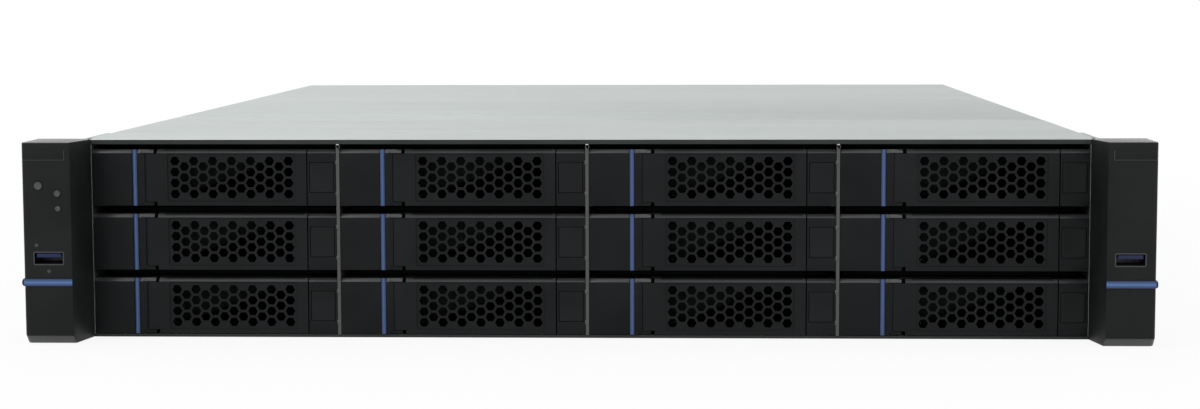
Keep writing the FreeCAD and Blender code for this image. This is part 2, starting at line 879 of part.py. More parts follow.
def screen_port(x):
    """Screen port: D-shaped shell and two nuts on a plate over the shield."""
    z = board_top + port_lift
    back = port_y - jack_depth
    body = box(x - screen_w / 2, x + screen_w / 2, back, port_y, board_top, z + screen_plate_h)
    y = rear_y - sheet
    shell = screen_outline(x, 0, port_y, shield_t + screen_plate_t + screen_out)
    hollow = screen_outline(x, screen_wall, y + screen_plate_t + screen_floor, screen_out)
    plate = box(x - screen_plate_w / 2, x + screen_plate_w / 2, y, y + screen_plate_t,
                z, z + screen_plate_h)
    nuts = [faceted_rod(nut_r, 6, V(x + side * nut_x, y + screen_plate_t, z + screen_plate_h / 2),
                        V(0, nut_len, 0)) for side in (-1, 1)]
    return join([body, shell, plate] + nuts).cut(hollow)


def boards():
    plate = box(board_x0, board_x1, board_y0, board_y1, board_z, board_top)
    pieces = [join([plate] + standoffs())]
    for cpu in cpu_places():
        pieces.append(block(cpu, socket_w, socket_d, socket_h))
    for place in dimm_places():
        pieces.append(block(place, dimm_socket_w, dimm_socket_l, dimm_socket_h))
    for index in range(slot_count):
        y1 = board_y1 - slot_end
        pieces.append(box(slot_x(index) - slot_w / 2, slot_x(index) + slot_w / 2,
                          y1 - slot_l, y1, board_top, board_top + slot_h))
    places = port_places()
    pieces += [jack(x) for x in places[:jack_count]]
    pieces += [stack(x) for x in places[jack_count:-1]]
    pieces.append(screen_port(places[-1]))
    return pieces + power_board()


def power_board():
    """Board that the power supplies plug into, with a plug for each."""
    y = psu_y0 - pdb_gap
    pieces = [box(psu_x0, psu_x1, y - pdb_t, y, sheet, psu_z[1] + psu_h)]
    for z in psu_z:
        pieces.append(box(psu_x0 + psu_w / 4, psu_x1 - psu_w / 4, y, psu_y0 - psu_gap,
                          z + psu_h / 3, z + psu_h * 2 / 3))
    return pieces


def heatsink(cpu):
    """Comb of fins along the air flow on a solid base."""
    gap = (sink_w - fin_count * fin_t) / (fin_count - 1)
    z0 = cpu.z + socket_h
    y0 = cpu.y - sink_d / 2
    body = box(cpu.x - sink_w / 2, cpu.x + sink_w / 2, y0, y0 + sink_d, z0, z0 + sink_h)
    spaces = []
    for index in range(fin_count - 1):
        x = cpu.x - sink_w / 2 + fin_t + index * (fin_t + gap)
        spaces.append(box(x, x + gap, y0 - 1, y0 + sink_d + 1,
                          z0 + sink_base, z0 + sink_h + 1))
    return body.cut(spaces)


def memory_modules():
    return [block(place + V(0, 0, dimm_socket_h), dimm_t, dimm_l, dimm_h)
            for place in dimm_places()]


# ------------------------------------------------------------ rear

def rear_panel():
    y0 = rear_y - sheet
    panel = box(-inner_x, inner_x, y0, rear_y, sheet, cover_z)
    cuts = [box(-inner_x - 1, psu_x1 + psu_gap, y0 - 1, rear_y + 1,
                0, psu_z[1] + psu_h + psu_gap)]
    cuts.append(box(io_x0, io_x1, y0 - 1, rear_y + 1, io_z0, io_z0 + io_h))
    for index in range(slot_count):
        x = slot_x(index)
        cuts.append(box(x - slot_open_w / 2, x + slot_open_w / 2, y0 - 1, rear_y + 1,
                        slot_open_z, slot_open_z + slot_open_h))
    for x in tab_places():
        z = chassis_h - tab_h / 2
        cuts.append(faceted_rod((screw_r + touch) / math.cos(math.pi / pin_sides), pin_sides,
                                V(x, y0 - 1, z), V(0, sheet + 2, 0)))
    notch = inner_x - cover_sheet - 2 * touch
    for side in (-1, 1):
        cuts.append(box(min(side * notch, side * (inner_x + 1)),
                        max(side * notch, side * (inner_x + 1)), y0 - 1, rear_y + 1,
                        chassis_h - cover_strip_h - touch, cover_z + 1))
    for row in range(vent_rows):
        z = vent_z + row * vent_pitch
        cuts.append(box(side_x0 + vent_side, side_x1 - vent_side, y0 - 1, rear_y + 1,
                        z - vent_h / 2, z + vent_h / 2))
    return panel.cut(cuts)


def io_shield():
    """Stamped plate behind the port window, with a hole for each port."""
    plate = box(io_x0 - shield_lap, io_x1 + shield_lap, port_y, port_y + shield_t,
                io_z0, io_z0 + io_h + shield_lap)
    holes = [mouth(*place[:4], port_y - 1, port_y + 2, mouth_gap) for place in port_mouths()]
    holes.append(screen_outline(port_places()[-1], -mouth_gap, port_y - 1, shield_t + 2))
    return plate.cut(holes)


def slot_covers():
    plates = []
    for index in range(slot_count):
        x = slot_x(index)
        plates.append(box(x - cover_plate_w / 2, x + cover_plate_w / 2,
                          rear_y - sheet - cover_plate_t, rear_y - sheet,
                          slot_open_z - cover_plate_lap,
                          slot_open_z + slot_open_h + cover_plate_lap))
    return plates


# ------------------------------------------------------------ power supplies

def psu(z):
    """Metal case with its inlet, air slots, handle and latch pocket at the rear."""
    mid = z + psu_h / 2
    case = box(psu_x0, psu_x1, psu_y0, rear_y, z, z + psu_h)
    cuts = [psu_inlet(mid), latch_pocket(mid)] + psu_vents(z)
    return join([case.cut(cuts)] + psu_handle(mid) + psu_pins(mid))


def inlet_x():
    return psu_x1 - inlet_side - inlet_w / 2


def psu_inlet(mid):
    x = inlet_x()
    return box(x - inlet_w / 2, x + inlet_w / 2, rear_y - inlet_depth, rear_y + 1,
               mid - inlet_h / 2, mid + inlet_h / 2)


def psu_pins(mid):
    pins = []
    for dx, dz in inlet_pins:
        x = inlet_x() + dx
        pins.append(box(x - inlet_pin_w / 2, x + inlet_pin_w / 2,
                        rear_y - inlet_depth, rear_y - inlet_pin_set,
                        mid + dz - inlet_pin_h / 2, mid + dz + inlet_pin_h / 2))
    return pins


def psu_vents(z):
    x = psu_x0 + psu_vent_side
    step = (psu_h - 2 * psu_vent_margin) / psu_vent_rows
    slots = []
    for row in range(psu_vent_rows):
        z0 = z + psu_vent_margin + row * step
        slots.append(box(x, x + psu_vent_w, rear_y - psu_vent_depth, rear_y + 1,
                         z0 + psu_bar / 2, z0 + step - psu_bar / 2))
    return slots


def psu_handle(mid):
    """Loop handle behind the air slots."""
    x = psu_x0 + psu_vent_side + psu_vent_w / 2
    x0 = x - handle_w / 2
    x1 = x + handle_w / 2
    z0 = mid - handle_h / 2
    z1 = mid + handle_h / 2
    end = rear_y + handle_out
    return [box(x0, x1, end - handle_t, end, z0, z1),
            box(x0, x0 + handle_t, rear_y, end, z0, z1),
            box(x1 - handle_t, x1, rear_y, end, z0, z1)]


def latch_pocket(mid):
    x = psu_x0 + latch_side
    return box(x - touch, x + latch_t + latch_travel + touch, rear_y - latch_in - touch,
               rear_y + 1, mid - latch_h / 2 - touch, mid + latch_h / 2 + touch)


def psu_latch(z):
    """Sprung release tab beside the handle."""
    mid = z + psu_h / 2
    x = psu_x0 + latch_side
    return box(x, x + latch_t, rear_y - latch_in, rear_y + latch_out,
               mid - latch_h / 2, mid + latch_h / 2)


# ------------------------------------------------------------ build

def build():
    os.makedirs("parts", exist_ok=True)
    export([chassis_base()], "chassis_base")
    export([front_cover()], "front_cover")
    export([header()], "front_header")
    export(main_cover(), "main_cover")
    ears()
    export([drive_cage()], "drive_cage")
    export(backplane(), "backplane")
    trays()
    fans()
    export(boards(), "system_boards")
    export([heatsink(cpu) for cpu in cpu_places()], "heatsinks")
    export(memory_modules(), "memory_modules")
    export([rear_panel(), io_shield()], "rear_panel")
    export(slot_covers(), "slot_covers")
    for index, z in enumerate(psu_z):
        export([psu(z)], "power_supply_{}".format(index + 1))
        export([psu_latch(z)], "psu_latch_{}".format(index + 1))


build()
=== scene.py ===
import itertools
import math
from contextlib import contextmanager

import bmesh
import bpy
from mathutils import Matrix, Vector

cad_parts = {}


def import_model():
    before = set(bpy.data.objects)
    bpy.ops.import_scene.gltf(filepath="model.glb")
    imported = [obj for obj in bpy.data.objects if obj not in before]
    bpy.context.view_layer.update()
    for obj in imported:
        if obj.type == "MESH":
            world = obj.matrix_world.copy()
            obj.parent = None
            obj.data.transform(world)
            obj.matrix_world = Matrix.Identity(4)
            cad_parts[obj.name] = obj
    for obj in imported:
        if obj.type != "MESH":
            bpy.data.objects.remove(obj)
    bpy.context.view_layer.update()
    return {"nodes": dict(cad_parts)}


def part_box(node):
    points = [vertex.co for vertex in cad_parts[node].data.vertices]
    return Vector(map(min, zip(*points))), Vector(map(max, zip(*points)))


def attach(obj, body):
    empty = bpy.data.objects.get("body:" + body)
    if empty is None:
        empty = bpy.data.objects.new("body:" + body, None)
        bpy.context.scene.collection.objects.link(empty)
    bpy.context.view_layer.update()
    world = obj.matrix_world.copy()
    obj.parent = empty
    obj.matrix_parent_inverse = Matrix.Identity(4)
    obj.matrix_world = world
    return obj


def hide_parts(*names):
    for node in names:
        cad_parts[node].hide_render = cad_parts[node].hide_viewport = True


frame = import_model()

MM = 0.001
NEAR = 1e-5              # metres: two places closer than this count as one
LEVEL = 1e-6             # metres: an edge that climbs less than this is level
OVER = 2 * MM            # how far a cutter reaches past what it cuts

COLUMNS = 4
ROWS = 3
BAYS = [(row, column) for column in range(1, COLUMNS + 1) for row in range(1, ROWS + 1)]

# ------------------------------------------------------------------ places, from the frame

TRAY_LOW, TRAY_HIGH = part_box("tray_r1_c1")
LEVER_LOW, LEVER_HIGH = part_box("lever_r1_c1")
BUTTON_LOW, BUTTON_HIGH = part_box("button_r1_c1")
CAGE_LOW, CAGE_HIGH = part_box("drive_cage")
CHASSIS_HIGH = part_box("chassis_base")[1]
EAR_LOW, EAR_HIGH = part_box("ear_right")
REAR_Y = CHASSIS_HIGH.y
COVER_Z = CHASSIS_HIGH.z
BOARD_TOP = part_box("heatsinks")[0].z - 6.0 * MM     # under the 6 mm sockets
BOARD_LOW_X = -0.12      # sockets lie to the right of this, the power board to the left
PORT_BACK = REAR_Y - 16.2 * MM
FACE_Y = LEVER_LOW.y
FACE_H = LEVER_HIGH.z - LEVER_LOW.z


def tray_shift(row, column):
    """How far the tray of a bay lies from the first one."""
    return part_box("tray_r%d_c%d" % (row, column))[0] - TRAY_LOW


# ------------------------------------------------------------------ modelling helpers

def deselect():
    """Leaves nothing selected."""
    bpy.ops.object.select_all(action="DESELECT")


def choose(piece):
    """Selects one piece and makes it the active one."""
    deselect()
    piece.select_set(True)
    bpy.context.view_layer.objects.active = piece


@contextmanager
def editing(piece, mode="FACE"):
    """Edit mode on one piece, with nothing selected."""
    choose(piece)
    bpy.ops.object.mode_set(mode="EDIT")
    bpy.ops.mesh.select_mode(type=mode)
    bpy.ops.mesh.select_all(action="DESELECT")
    yield bmesh.from_edit_mesh(piece.data)
    bpy.ops.object.mode_set(mode="OBJECT")


def pick(mesh, items, wanted):
    """Selects the faces or edges that pass a test."""
    for item in items:
        if wanted(item):
            item.select_set(True)
    mesh.select_flush_mode()


def block(name, low, high):
    """A cube primitive at its size and place, with its place in its mesh."""
    low = Vector(low)
    high = Vector(high)
    deselect()
    bpy.ops.mesh.primitive_cube_add(size=1.0, location=(low + high) / 2)
    piece = bpy.context.object
    piece.name = name
    piece.scale = high - low
    bpy.ops.object.transform_apply(location=True, rotation=True, scale=True)
    return piece


def drum(name, centre, radius, length, axis="Y", sides=24, turn=0.0):
    """A cylinder primitive along an axis, starting at centre."""
    turns = {"X": (0, math.pi / 2, 0), "Y": (math.pi / 2, turn, 0), "Z": (0, 0, turn)}
    way = {"X": Vector((1, 0, 0)), "Y": Vector((0, 1, 0)), "Z": Vector((0, 0, 1))}[axis]
    deselect()
    bpy.ops.mesh.primitive_cylinder_add(vertices=sides, radius=radius, depth=length,
                                        location=Vector(centre) + way * (length / 2),
                                        rotation=turns[axis])
    piece = bpy.context.object
    piece.name = name
    bpy.ops.object.transform_apply(location=True, rotation=True, scale=True)
    return piece


def join(pieces):
    """Joins pieces into the first of them."""
    deselect()
    for piece in pieces:
        piece.select_set(True)
    bpy.context.view_layer.objects.active = pieces[0]
    bpy.ops.object.join()
    return pieces[0]


def combine(piece, others, operation):
    """One boolean with each of the others, which are used up."""
    for other in others:
        choose(piece)
        change = piece.modifiers.new("shape", "BOOLEAN")
        change.operation = operation
        change.solver = "EXACT"
        change.object = other
        bpy.ops.object.modifier_apply(modifier=change.name)
        bpy.data.objects.remove(other)
    return piece


def cut(piece, *others):
    """Takes the others out of a piece."""
    return combine(piece, others, "DIFFERENCE")


def add_on(piece, *others):
    """Welds the others to a piece."""
    return combine(piece, others, "UNION")


def soften(piece, width, steps=2, angle=35):
    """Rounds every sharp edge and shades the rounds smooth."""
    with editing(piece):
        bpy.ops.mesh.select_all(action="SELECT")
        bpy.ops.mesh.remove_doubles(threshold=NEAR)
    choose(piece)
    change = piece.modifiers.new("edges", "BEVEL")
    change.width = width
    change.segments = steps
    change.limit_method = "ANGLE"
    change.angle_limit = math.radians(angle)
    change.harden_normals = False
    bpy.ops.object.modifier_apply(modifier=change.name)
    return smooth(piece, angle)


def smooth(piece, angle=35):
    """Shades smooth every edge that is blunter than the angle."""
    choose(piece)
    bpy.ops.object.shade_smooth_by_angle(angle=math.radians(angle))
    return piece


def bevel(piece, wanted, width, steps=1):
    """Bevels the edges that pass a test."""
    with editing(piece, "EDGE") as mesh:
        pick(mesh, mesh.edges, wanted)
        bpy.ops.mesh.bevel(offset=width, segments=steps)
    return piece


def press(piece, wanted, rim, move):
    """Insets the faces that pass a test by a rim and moves what lies inside the rim."""
    with editing(piece) as mesh:
        pick(mesh, mesh.faces, wanted)
        bpy.ops.mesh.inset(thickness=rim)
        bpy.ops.transform.translate(value=move)


def facing(axis, sign=1):
    """A test for faces that look along an axis, or against it where sign is -1."""
    return lambda face: sign * getattr(face.normal, axis) > 0.9


def reach(edge, axis):
    """How far an edge runs along an axis."""
    first, second = edge.verts
    return abs(getattr(first.co, axis) - getattr(second.co, axis))


def longer(axis, least):
    """A test for edges that run further than least along an axis."""
    return lambda edge: reach(edge, axis) > least


def within(test):
    """A test for edges whose two ends both pass a test of place."""
    return lambda edge: all(test(vertex.co) for vertex in edge.verts)


def lean(piece, limit_y, limit_z, width):
    """Chamfers the edge between a front face and the top of a piece."""
    corner = within(lambda at: at.y < limit_y + NEAR and at.z > limit_z - NEAR)
    return bevel(piece, lambda edge: reach(edge, "y") < LEVEL and corner(edge), width)


def upper_round(face):
    """The chamfer or round between a front face and the top, which takes the painted highlight."""
    return face.normal.z > 0.35 and face.normal.y < -0.35


def ear_painted_highlight(face):
    """Faces that take the painted highlight: top and foot of the ear, and the lower and inner rim
    of its cap plate.
    """
    if face.center.y < EAR_FACE - NEAR:
        return face.normal.z < -0.3 or abs(face.normal.x) > 0.3
    return face.normal.z > 0.35 or face.normal.z < -0.35 and face.normal.y < -0.2


def lever_painted_highlight(face):
    """Faces that take the painted highlight: the upper chamfer of the lever, and the lower rim of
    its sunk field.
    """
    rim_z = LEVER_LOW.z + FIELD_MARGIN
    return upper_round(face) or face.normal.z > 0.9 and abs(face.center.z - rim_z) < 0.2 * MM


def slanted(name, low, high, wanted, move):
    """Block with the corners that pass a test moved, which makes a wedge."""
    piece = block(name, low, high)
    with editing(piece, "VERT") as mesh:
        pick(mesh, mesh.verts, wanted)
        bpy.ops.transform.translate(value=move)
    return piece


def copy_of(piece, name, shift=Vector((0, 0, 0))):
    """A copy with its own mesh, moved in the mesh."""
    twin = piece.copy()
    twin.data = piece.data.copy()
    twin.data.transform(Matrix.Translation(shift))
    twin.name = name
    twin.data.name = name
    bpy.context.scene.collection.objects.link(twin)
    return twin


def mirrored(piece, name):
    """The left-hand twin of a right-hand piece."""
    twin = copy_of(piece, name)
    twin.data.transform(Matrix.Scale(-1, 4, (1, 0, 0)))
    with editing(twin):
        bpy.ops.mesh.select_all(action="SELECT")
        bpy.ops.mesh.flip_normals()
    return twin


def spread(parts, places):
    """Copies every template to every place and removes the templates. A place is the ending
    of the names there, and how far it lies from the first one."""
    for ending, shift in places:
        for template, material, body, slot, lit in parts:
            twin = copy_of(template, template.name + "_copy" + ending, shift)
            fit(twin, material, body + ending, slot, body + ending, lit=lit)
    for template, *_ in parts:
        bpy.data.objects.remove(template)


def fit(piece, material, body, slot, *nodes, lit=None, sheen=None):
    """Gives a finished piece its material, its body and the nodes it stands for; the slot is not
    used.
    The faces picked by lit get the second material, the painted highlight unless sheen names
    another."""
    piece.data.materials.append(material)
    if lit:
        piece.data.materials.append(sheen or EDGE_PAINTED_HIGHLIGHT)
        for face in piece.data.polygons:
            face.material_index = int(lit(face))
    piece.data.name = piece.name
    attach(piece, body)
    if nodes:
        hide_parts(*nodes)
    return piece


# ------------------------------------------------------------------ material helpers

def colour(code):
    """A linear colour from an sRGB hex value."""
    parts = [int(code[place:place + 2], 16) / 255 for place in (1, 3, 5)]
    lit = [part / 12.92 if part <= 0.04045 else ((part + 0.055) / 1.055) ** 2.4 for part in parts]
    return (*lit, 1.0)


def node(tree, kind, inputs=None, stops=(), **settings):
    """Adds a node with its settings. Inputs are values, or the sockets that feed them, and
    the stops of a colour ramp are positions with a hex value or a grey."""
    made = tree.nodes.new(kind)
    for name, value in settings.items():
        setattr(made, name, value)
    for name, value in (inputs or {}).items():
        if isinstance(value, bpy.types.NodeSocket):
            tree.links.new(value, made.inputs[name])
        else:
            made.inputs[name].default_value = value
    if stops:
        elements = made.color_ramp.elements
        while len(elements) < len(stops):
            elements.new(0.5)
        for element, (position, value) in zip(elements, stops):
            element.position = position
            element.color = colour(value) if isinstance(value, str) else (value, value, value, 1)
    return made


def fresh(name):
    """An empty material with its shader and its object coordinates."""
    material = bpy.data.materials.new(name)
    material.use_nodes = True
    tree = material.node_tree
    tree.nodes.clear()
    shader = node(tree, "ShaderNodeBsdfPrincipled")
    output = node(tree, "ShaderNodeOutputMaterial")
    tree.links.new(shader.outputs["BSDF"], output.inputs["Surface"])
    place = node(tree, "ShaderNodeTexCoord").outputs["Object"]
    return material, tree, shader, place


def moulded_plastic(name, dark, light, rough, grain_mm, depth_mm, specular):
    """Moulded plastic or paint with a fine grain: dull, with a slight mottle of tone."""
    material, tree, shader, place = fresh(name)
    cloud = node(tree, "ShaderNodeTexNoise", {"Vector": place, "Scale": 40.0, "Detail": 4.0})
    mottle = node(tree, "ShaderNodeValToRGB", {"Fac": cloud.outputs["Fac"]},
                  stops=((0.3, dark), (0.7, light)))
    tree.links.new(mottle.outputs["Color"], shader.inputs["Base Color"])
    sheen = node(tree, "ShaderNodeValToRGB", {"Fac": cloud.outputs["Fac"]},
                 stops=((0.25, rough - 0.05), (0.75, rough + 0.06)))
    tree.links.new(sheen.outputs["Color"], shader.inputs["Roughness"])
    grain = node(tree, "ShaderNodeTexNoise",
                 {"Vector": place, "Scale": 1 / (grain_mm * MM), "Detail": 2.0})
    bump = node(tree, "ShaderNodeBump", {"Height": grain.outputs["Fac"], "Strength": 0.5,
                                         "Distance": depth_mm * MM})
    tree.links.new(bump.outputs["Normal"], shader.inputs["Normal"])
    shader.inputs["Specular IOR Level"].default_value = specular
    return material


def galvanised_steel(name, dark, light, spangle_mm, rough, share=0.2, rim="#c8ccc9"):
    """Hot-dip galvanised sheet: pale grey metal with faint crystal spangle and rolling streaks."""
    material, tree, shader, place = fresh(name)
    spangle = node(tree, "ShaderNodeTexVoronoi",
                   {"Vector": place, "Scale": 1 / (spangle_mm * MM)})
    crystal = node(tree, "ShaderNodeSeparateColor", {"Color": spangle.outputs["Color"]})
    stretched = node(tree, "ShaderNodeMapping", {"Vector": place, "Scale": (7.0, 90.0, 90.0)})
    streak = node(tree, "ShaderNodeTexNoise", {"Vector": stretched.outputs["Vector"],
                                               "Scale": 1.0, "Detail": 5.0})
    blend = node(tree, "ShaderNodeMix", {"Factor": 1 - share, "A": crystal.outputs["Red"],
                                         "B": streak.outputs["Fac"]})
    mixed = blend.outputs["Result"]
    zinc = node(tree, "ShaderNodeValToRGB", {"Fac": mixed}, stops=((0.15, dark), (0.85, light)))
    tree.links.new(zinc.outputs["Color"], shader.inputs["Base Color"])
    sheen = node(tree, "ShaderNodeValToRGB", {"Fac": mixed},
                 stops=((0.1, rough - 0.05), (0.9, rough + 0.07)))
    tree.links.new(sheen.outputs["Color"], shader.inputs["Roughness"])
    bump = node(tree, "ShaderNodeBump", {"Height": streak.outputs["Fac"], "Strength": 0.12,
                                         "Distance": 0.05 * MM})
    tree.links.new(bump.outputs["Normal"], shader.inputs["Normal"])
    shader.inputs["Metallic"].default_value = 1.0
    shader.inputs["Specular Tint"].default_value = colour(rim)
    return material


SEAT_SHADE_BLUE = "#0a1838"    # painted shade at the edges of an accent strip, down in its seat


def accent_plastic(name, body, ridge_highlight):
    """Glossy moulded stripe, blue through, with a painted highlight along its ridge and painted
    shade at its edges in the seat.
    """
    material, tree, shader, _ = fresh(name)
    across = node(tree, "ShaderNodeAttribute", attribute_name="across")
    blue = node(tree, "ShaderNodeValToRGB", {"Fac": across.outputs["Fac"]},
                stops=((0.0, SEAT_SHADE_BLUE), (0.34, body), (0.5, ridge_highlight), (0.66, body),
                       (1.0, SEAT_SHADE_BLUE)))
    tree.links.new(blue.outputs["Color"], shader.inputs["Base Color"])
    shader.inputs["Roughness"].default_value = 0.35
    return material


# Sockets of a Mix node that mixes colours.
MIX_A, MIX_B, MIX_RESULT = 6, 7, 2


def tracks(tree, place):
    """Solder mask with faint copper tracks and scattered tinned pads."""
    lines = node(tree, "ShaderNodeTexBrick", {"Vector": place, "Scale": 160.0, "Mortar Size": 0.06,
                                              "Brick Width": 1.4, "Row Height": 0.3,
                                              "Color1": colour("#0c3520"),
                                              "Color2": colour("#0e3d25"),
                                              "Mortar": colour("#175233")})
    dots = node(tree, "ShaderNodeTexVoronoi",
                {"Vector": place, "Scale": 240.0, "Randomness": 0.7})
    bare = node(tree, "ShaderNodeMath", {0: dots.outputs["Distance"], 1: 0.13},
                operation="GREATER_THAN")
    pads = node(tree, "ShaderNodeMix",
                {"Factor": bare.outputs[0], MIX_A: colour("#8c8f86"),
                 MIX_B: lines.outputs["Color"]}, data_type="RGBA")
    return pads.outputs[MIX_RESULT]


def board_set():
    """Main board in one: green laminate, black nylon sockets, and nickel shells at the ports."""
    material, tree, shader, place = fresh("board_laminate_nylon_and_nickel")
    where = node(tree, "ShaderNodeSeparateXYZ", {"Vector": place}).outputs
    raised, right, ports = (
        node(tree, "ShaderNodeMath", {0: where[axis], 1: limit},
             operation="GREATER_THAN").outputs[0]
        for axis, limit in (("Z", BOARD_TOP + 0.05 * MM), ("X", BOARD_LOW_X), ("Y", PORT_BACK)))
    covered = node(tree, "ShaderNodeMath", {0: raised, 1: right}, operation="MULTIPLY")
    grain = node(tree, "ShaderNodeTexNoise", {"Vector": place, "Scale": 900.0})
    nylon = node(tree, "ShaderNodeValToRGB", {"Fac": grain.outputs["Fac"]},
                 stops=((0.3, "#0e0f10"), (0.7, "#17181a")))
    plain = node(tree, "ShaderNodeMix",
                 {"Factor": covered.outputs[0], MIX_A: tracks(tree, place),
                  MIX_B: nylon.outputs["Color"]}, data_type="RGBA")
    plated = node(tree, "ShaderNodeMix",
                  {"Factor": ports, MIX_A: plain.outputs[MIX_RESULT], MIX_B: colour("#a3a5a4")},
                  data_type="RGBA")
    tree.links.new(plated.outputs[MIX_RESULT], shader.inputs["Base Color"])
    tree.links.new(ports, shader.inputs["Metallic"])
    shader.inputs["Roughness"].default_value = 0.38
    return material


def backplane_laminate():
    """Green laminate of the drive backplane, with tracks and pads."""
    material, tree, shader, place = fresh("backplane_green_laminate")
    tree.links.new(tracks(tree, place), shader.inputs["Base Color"])
    shader.inputs["Roughness"].default_value = 0.36
    return material


def memory_laminate():
    """Memory modules: green laminate with rows of black chips."""
    material, tree, shader, place = fresh("memory_module_with_chips")
    where = node(tree, "ShaderNodeSeparateXYZ", {"Vector": place}).outputs
    side = node(tree, "ShaderNodeCombineXYZ", {"X": where["Y"], "Y": where["Z"]})
    cases = node(tree, "ShaderNodeTexBrick", {"Vector": side.outputs[0], "Scale": 1.0,
                                              "Mortar Size": 0.0016, "Brick Width": 0.0125,
                                              "Row Height": 0.0132, "Mortar Smooth": 0.0},
                 offset=0.0)
    bare = node(tree, "ShaderNodeMath", {0: cases.outputs["Fac"], 1: 0.5},
                operation="GREATER_THAN")
    module = node(tree, "ShaderNodeMix",
                  {"Factor": bare.outputs[0], MIX_A: colour("#101112"), MIX_B: colour("#124a2c")},
                  data_type="RGBA")
    tree.links.new(module.outputs[MIX_RESULT], shader.inputs["Base Color"])
    shader.inputs["Roughness"].default_value = 0.4
    return material


def bare_metal(name, code, rough):
    """Plain machined or pressed metal with fine brushing."""
    material, tree, shader, place = fresh(name)
    stretched = node(tree, "ShaderNodeMapping", {"Vector": place, "Scale": (900.0, 40.0, 40.0)})
    brush = node(tree, "ShaderNodeTexNoise", {"Vector": stretched.outputs["Vector"],
                                              "Scale": 1.0, "Detail": 3.0})
    sheen = node(tree, "ShaderNodeValToRGB", {"Fac": brush.outputs["Fac"]},
                 stops=((0.2, rough - 0.06), (0.8, rough + 0.08)))
    tree.links.new(sheen.outputs["Color"], shader.inputs["Roughness"])
    shader.inputs["Base Color"].default_value = colour(code)
    shader.inputs["Metallic"].default_value = 1.0
    return material


# Plastics: name, dark and light tone, roughness, grain and its relief in mm, specular level.
# Sheet: dark and light tone, spangle in mm, roughness. Bare metal: colour and roughness.
TRAY_BLACK = moulded_plastic("spark_eroded_black_abs",
                             "#151617", "#1c1d1e", 0.50, 0.5, 0.03, 0.09)
LEVER_BLACK = moulded_plastic("fine_textured_black_abs",
                              "#151617", "#1d1e1f", 0.48, 0.4, 0.025, 0.11)
BUTTON_GREY = moulded_plastic("smooth_dark_grey_abs",
                              "#131415", "#1b1c1d", 0.48, 0.4, 0.015, 0.13)
EAR_GREY = moulded_plastic("textured_dark_grey_abs", "#161717", "#1e1f1f", 0.48, 0.5, 0.03, 0.12)
# Painted highlight: a lighter, glossier copy of the black plastics, for the top edges, chamfers and
# rims that catch the light.
EDGE_PAINTED_HIGHLIGHT = moulded_plastic("black_edge_painted_highlight", "#2c2d2e", "#363738", 0.32, 0.4, 0.01, 0.5)
DARK_PLASTIC = moulded_plastic("glass_filled_black_nylon",
                               "#0d0d0e", "#151516", 0.55, 0.6, 0.04, 0.3)
HEADER_PAINT = moulded_plastic("powder_coated_dark_steel",
                               "#272929", "#313333", 0.5, 0.7, 0.03, 0.2)
TOP_STEEL = galvanised_steel("galvanised_cover_sheet",
                             "#b2b6b5", "#c3c7c6", 5.0, 0.42, 0.2, "#dadddc")
CASE_STEEL = galvanised_steel("galvanised_case_sheet", "#a8aeac", "#bec3c1", 3.0, 0.40)
SPRING_STEEL = bare_metal("spring_steel_strip", "#565655", 0.42)
PSU_STEEL = bare_metal("nickel_plated_steel", "#9fa3a4", 0.36)
SINK_METAL = bare_metal("extruded_aluminium", "#c9ccd0", 0.30)
# Accents: the body blue, then the painted highlight along the ridge.
BLUE = accent_plastic("moulded_blue_accent", "#38588c", "#5273a6")
STRIPE_BLUE = accent_plastic("moulded_blue_tray_stripe", "#2a4573", "#3f5c8a")
NICKEL = bare_metal("nickel_plated_shell", "#8d8d90", 0.36)
# Painted shade: a darker copy of the nickel, for the USB shell sunk in the ear.
SHADED_NICKEL = bare_metal("nickel_shell_painted_shade", "#4c4c50", 0.42)
ZINC = bare_metal("zinc_plated_screw", "#b4b6b6", 0.34)
TONGUE_BLUE = moulded_plastic("navy_blue_polyester", "#0f1734", "#16204a", 0.4, 0.3, 0.01, 0.3)
LENS_GREY = moulded_plastic("translucent_grey_polycarbonate",
                            "#414243", "#4c4d4e", 0.35, 0.4, 0.01, 0.3)
MARK_GREY = moulded_plastic("pad_printed_grey_ink", "#3c3d3c", "#454645", 0.6, 0.3, 0.01, 0.2)
# Painted shade: the drive casting is coloured near-black so the grille shows dark behind it.
DRIVE_PAINTED_SHADE = moulded_plastic("drive_casting_painted_shade", "#0f1112", "#17191b", 0.6, 0.8, 0.04, 0.15)
LATCH_BLUE = moulded_plastic("moulded_blue_release_tab",
                             "#17346a", "#1f407c", 0.42, 0.4, 0.01, 0.3)
PORT_BLUE = moulded_plastic("moulded_blue_port_tongue",
                            "#1a4a9a", "#2256a8", 0.42, 0.3, 0.01, 0.3)
GILT = bare_metal("gilt_contact", "#b08d3e", 0.30)
CAN_METAL = bare_metal("aluminium_can", "#b3b5b6", 0.32)
CORE_GREY = moulded_plastic("pressed_ferrite_core", "#2b2c2e", "#36373a", 0.6, 0.5, 0.04, 0.3)
CHIP_BLACK = moulded_plastic("epoxy_chip_case", "#101113", "#17181b", 0.42, 0.4, 0.01, 0.35)
BOARDS = board_set()
BACKPLANE = backplane_laminate()
MEMORY = memory_laminate()

# ------------------------------------------------------------------ drive trays

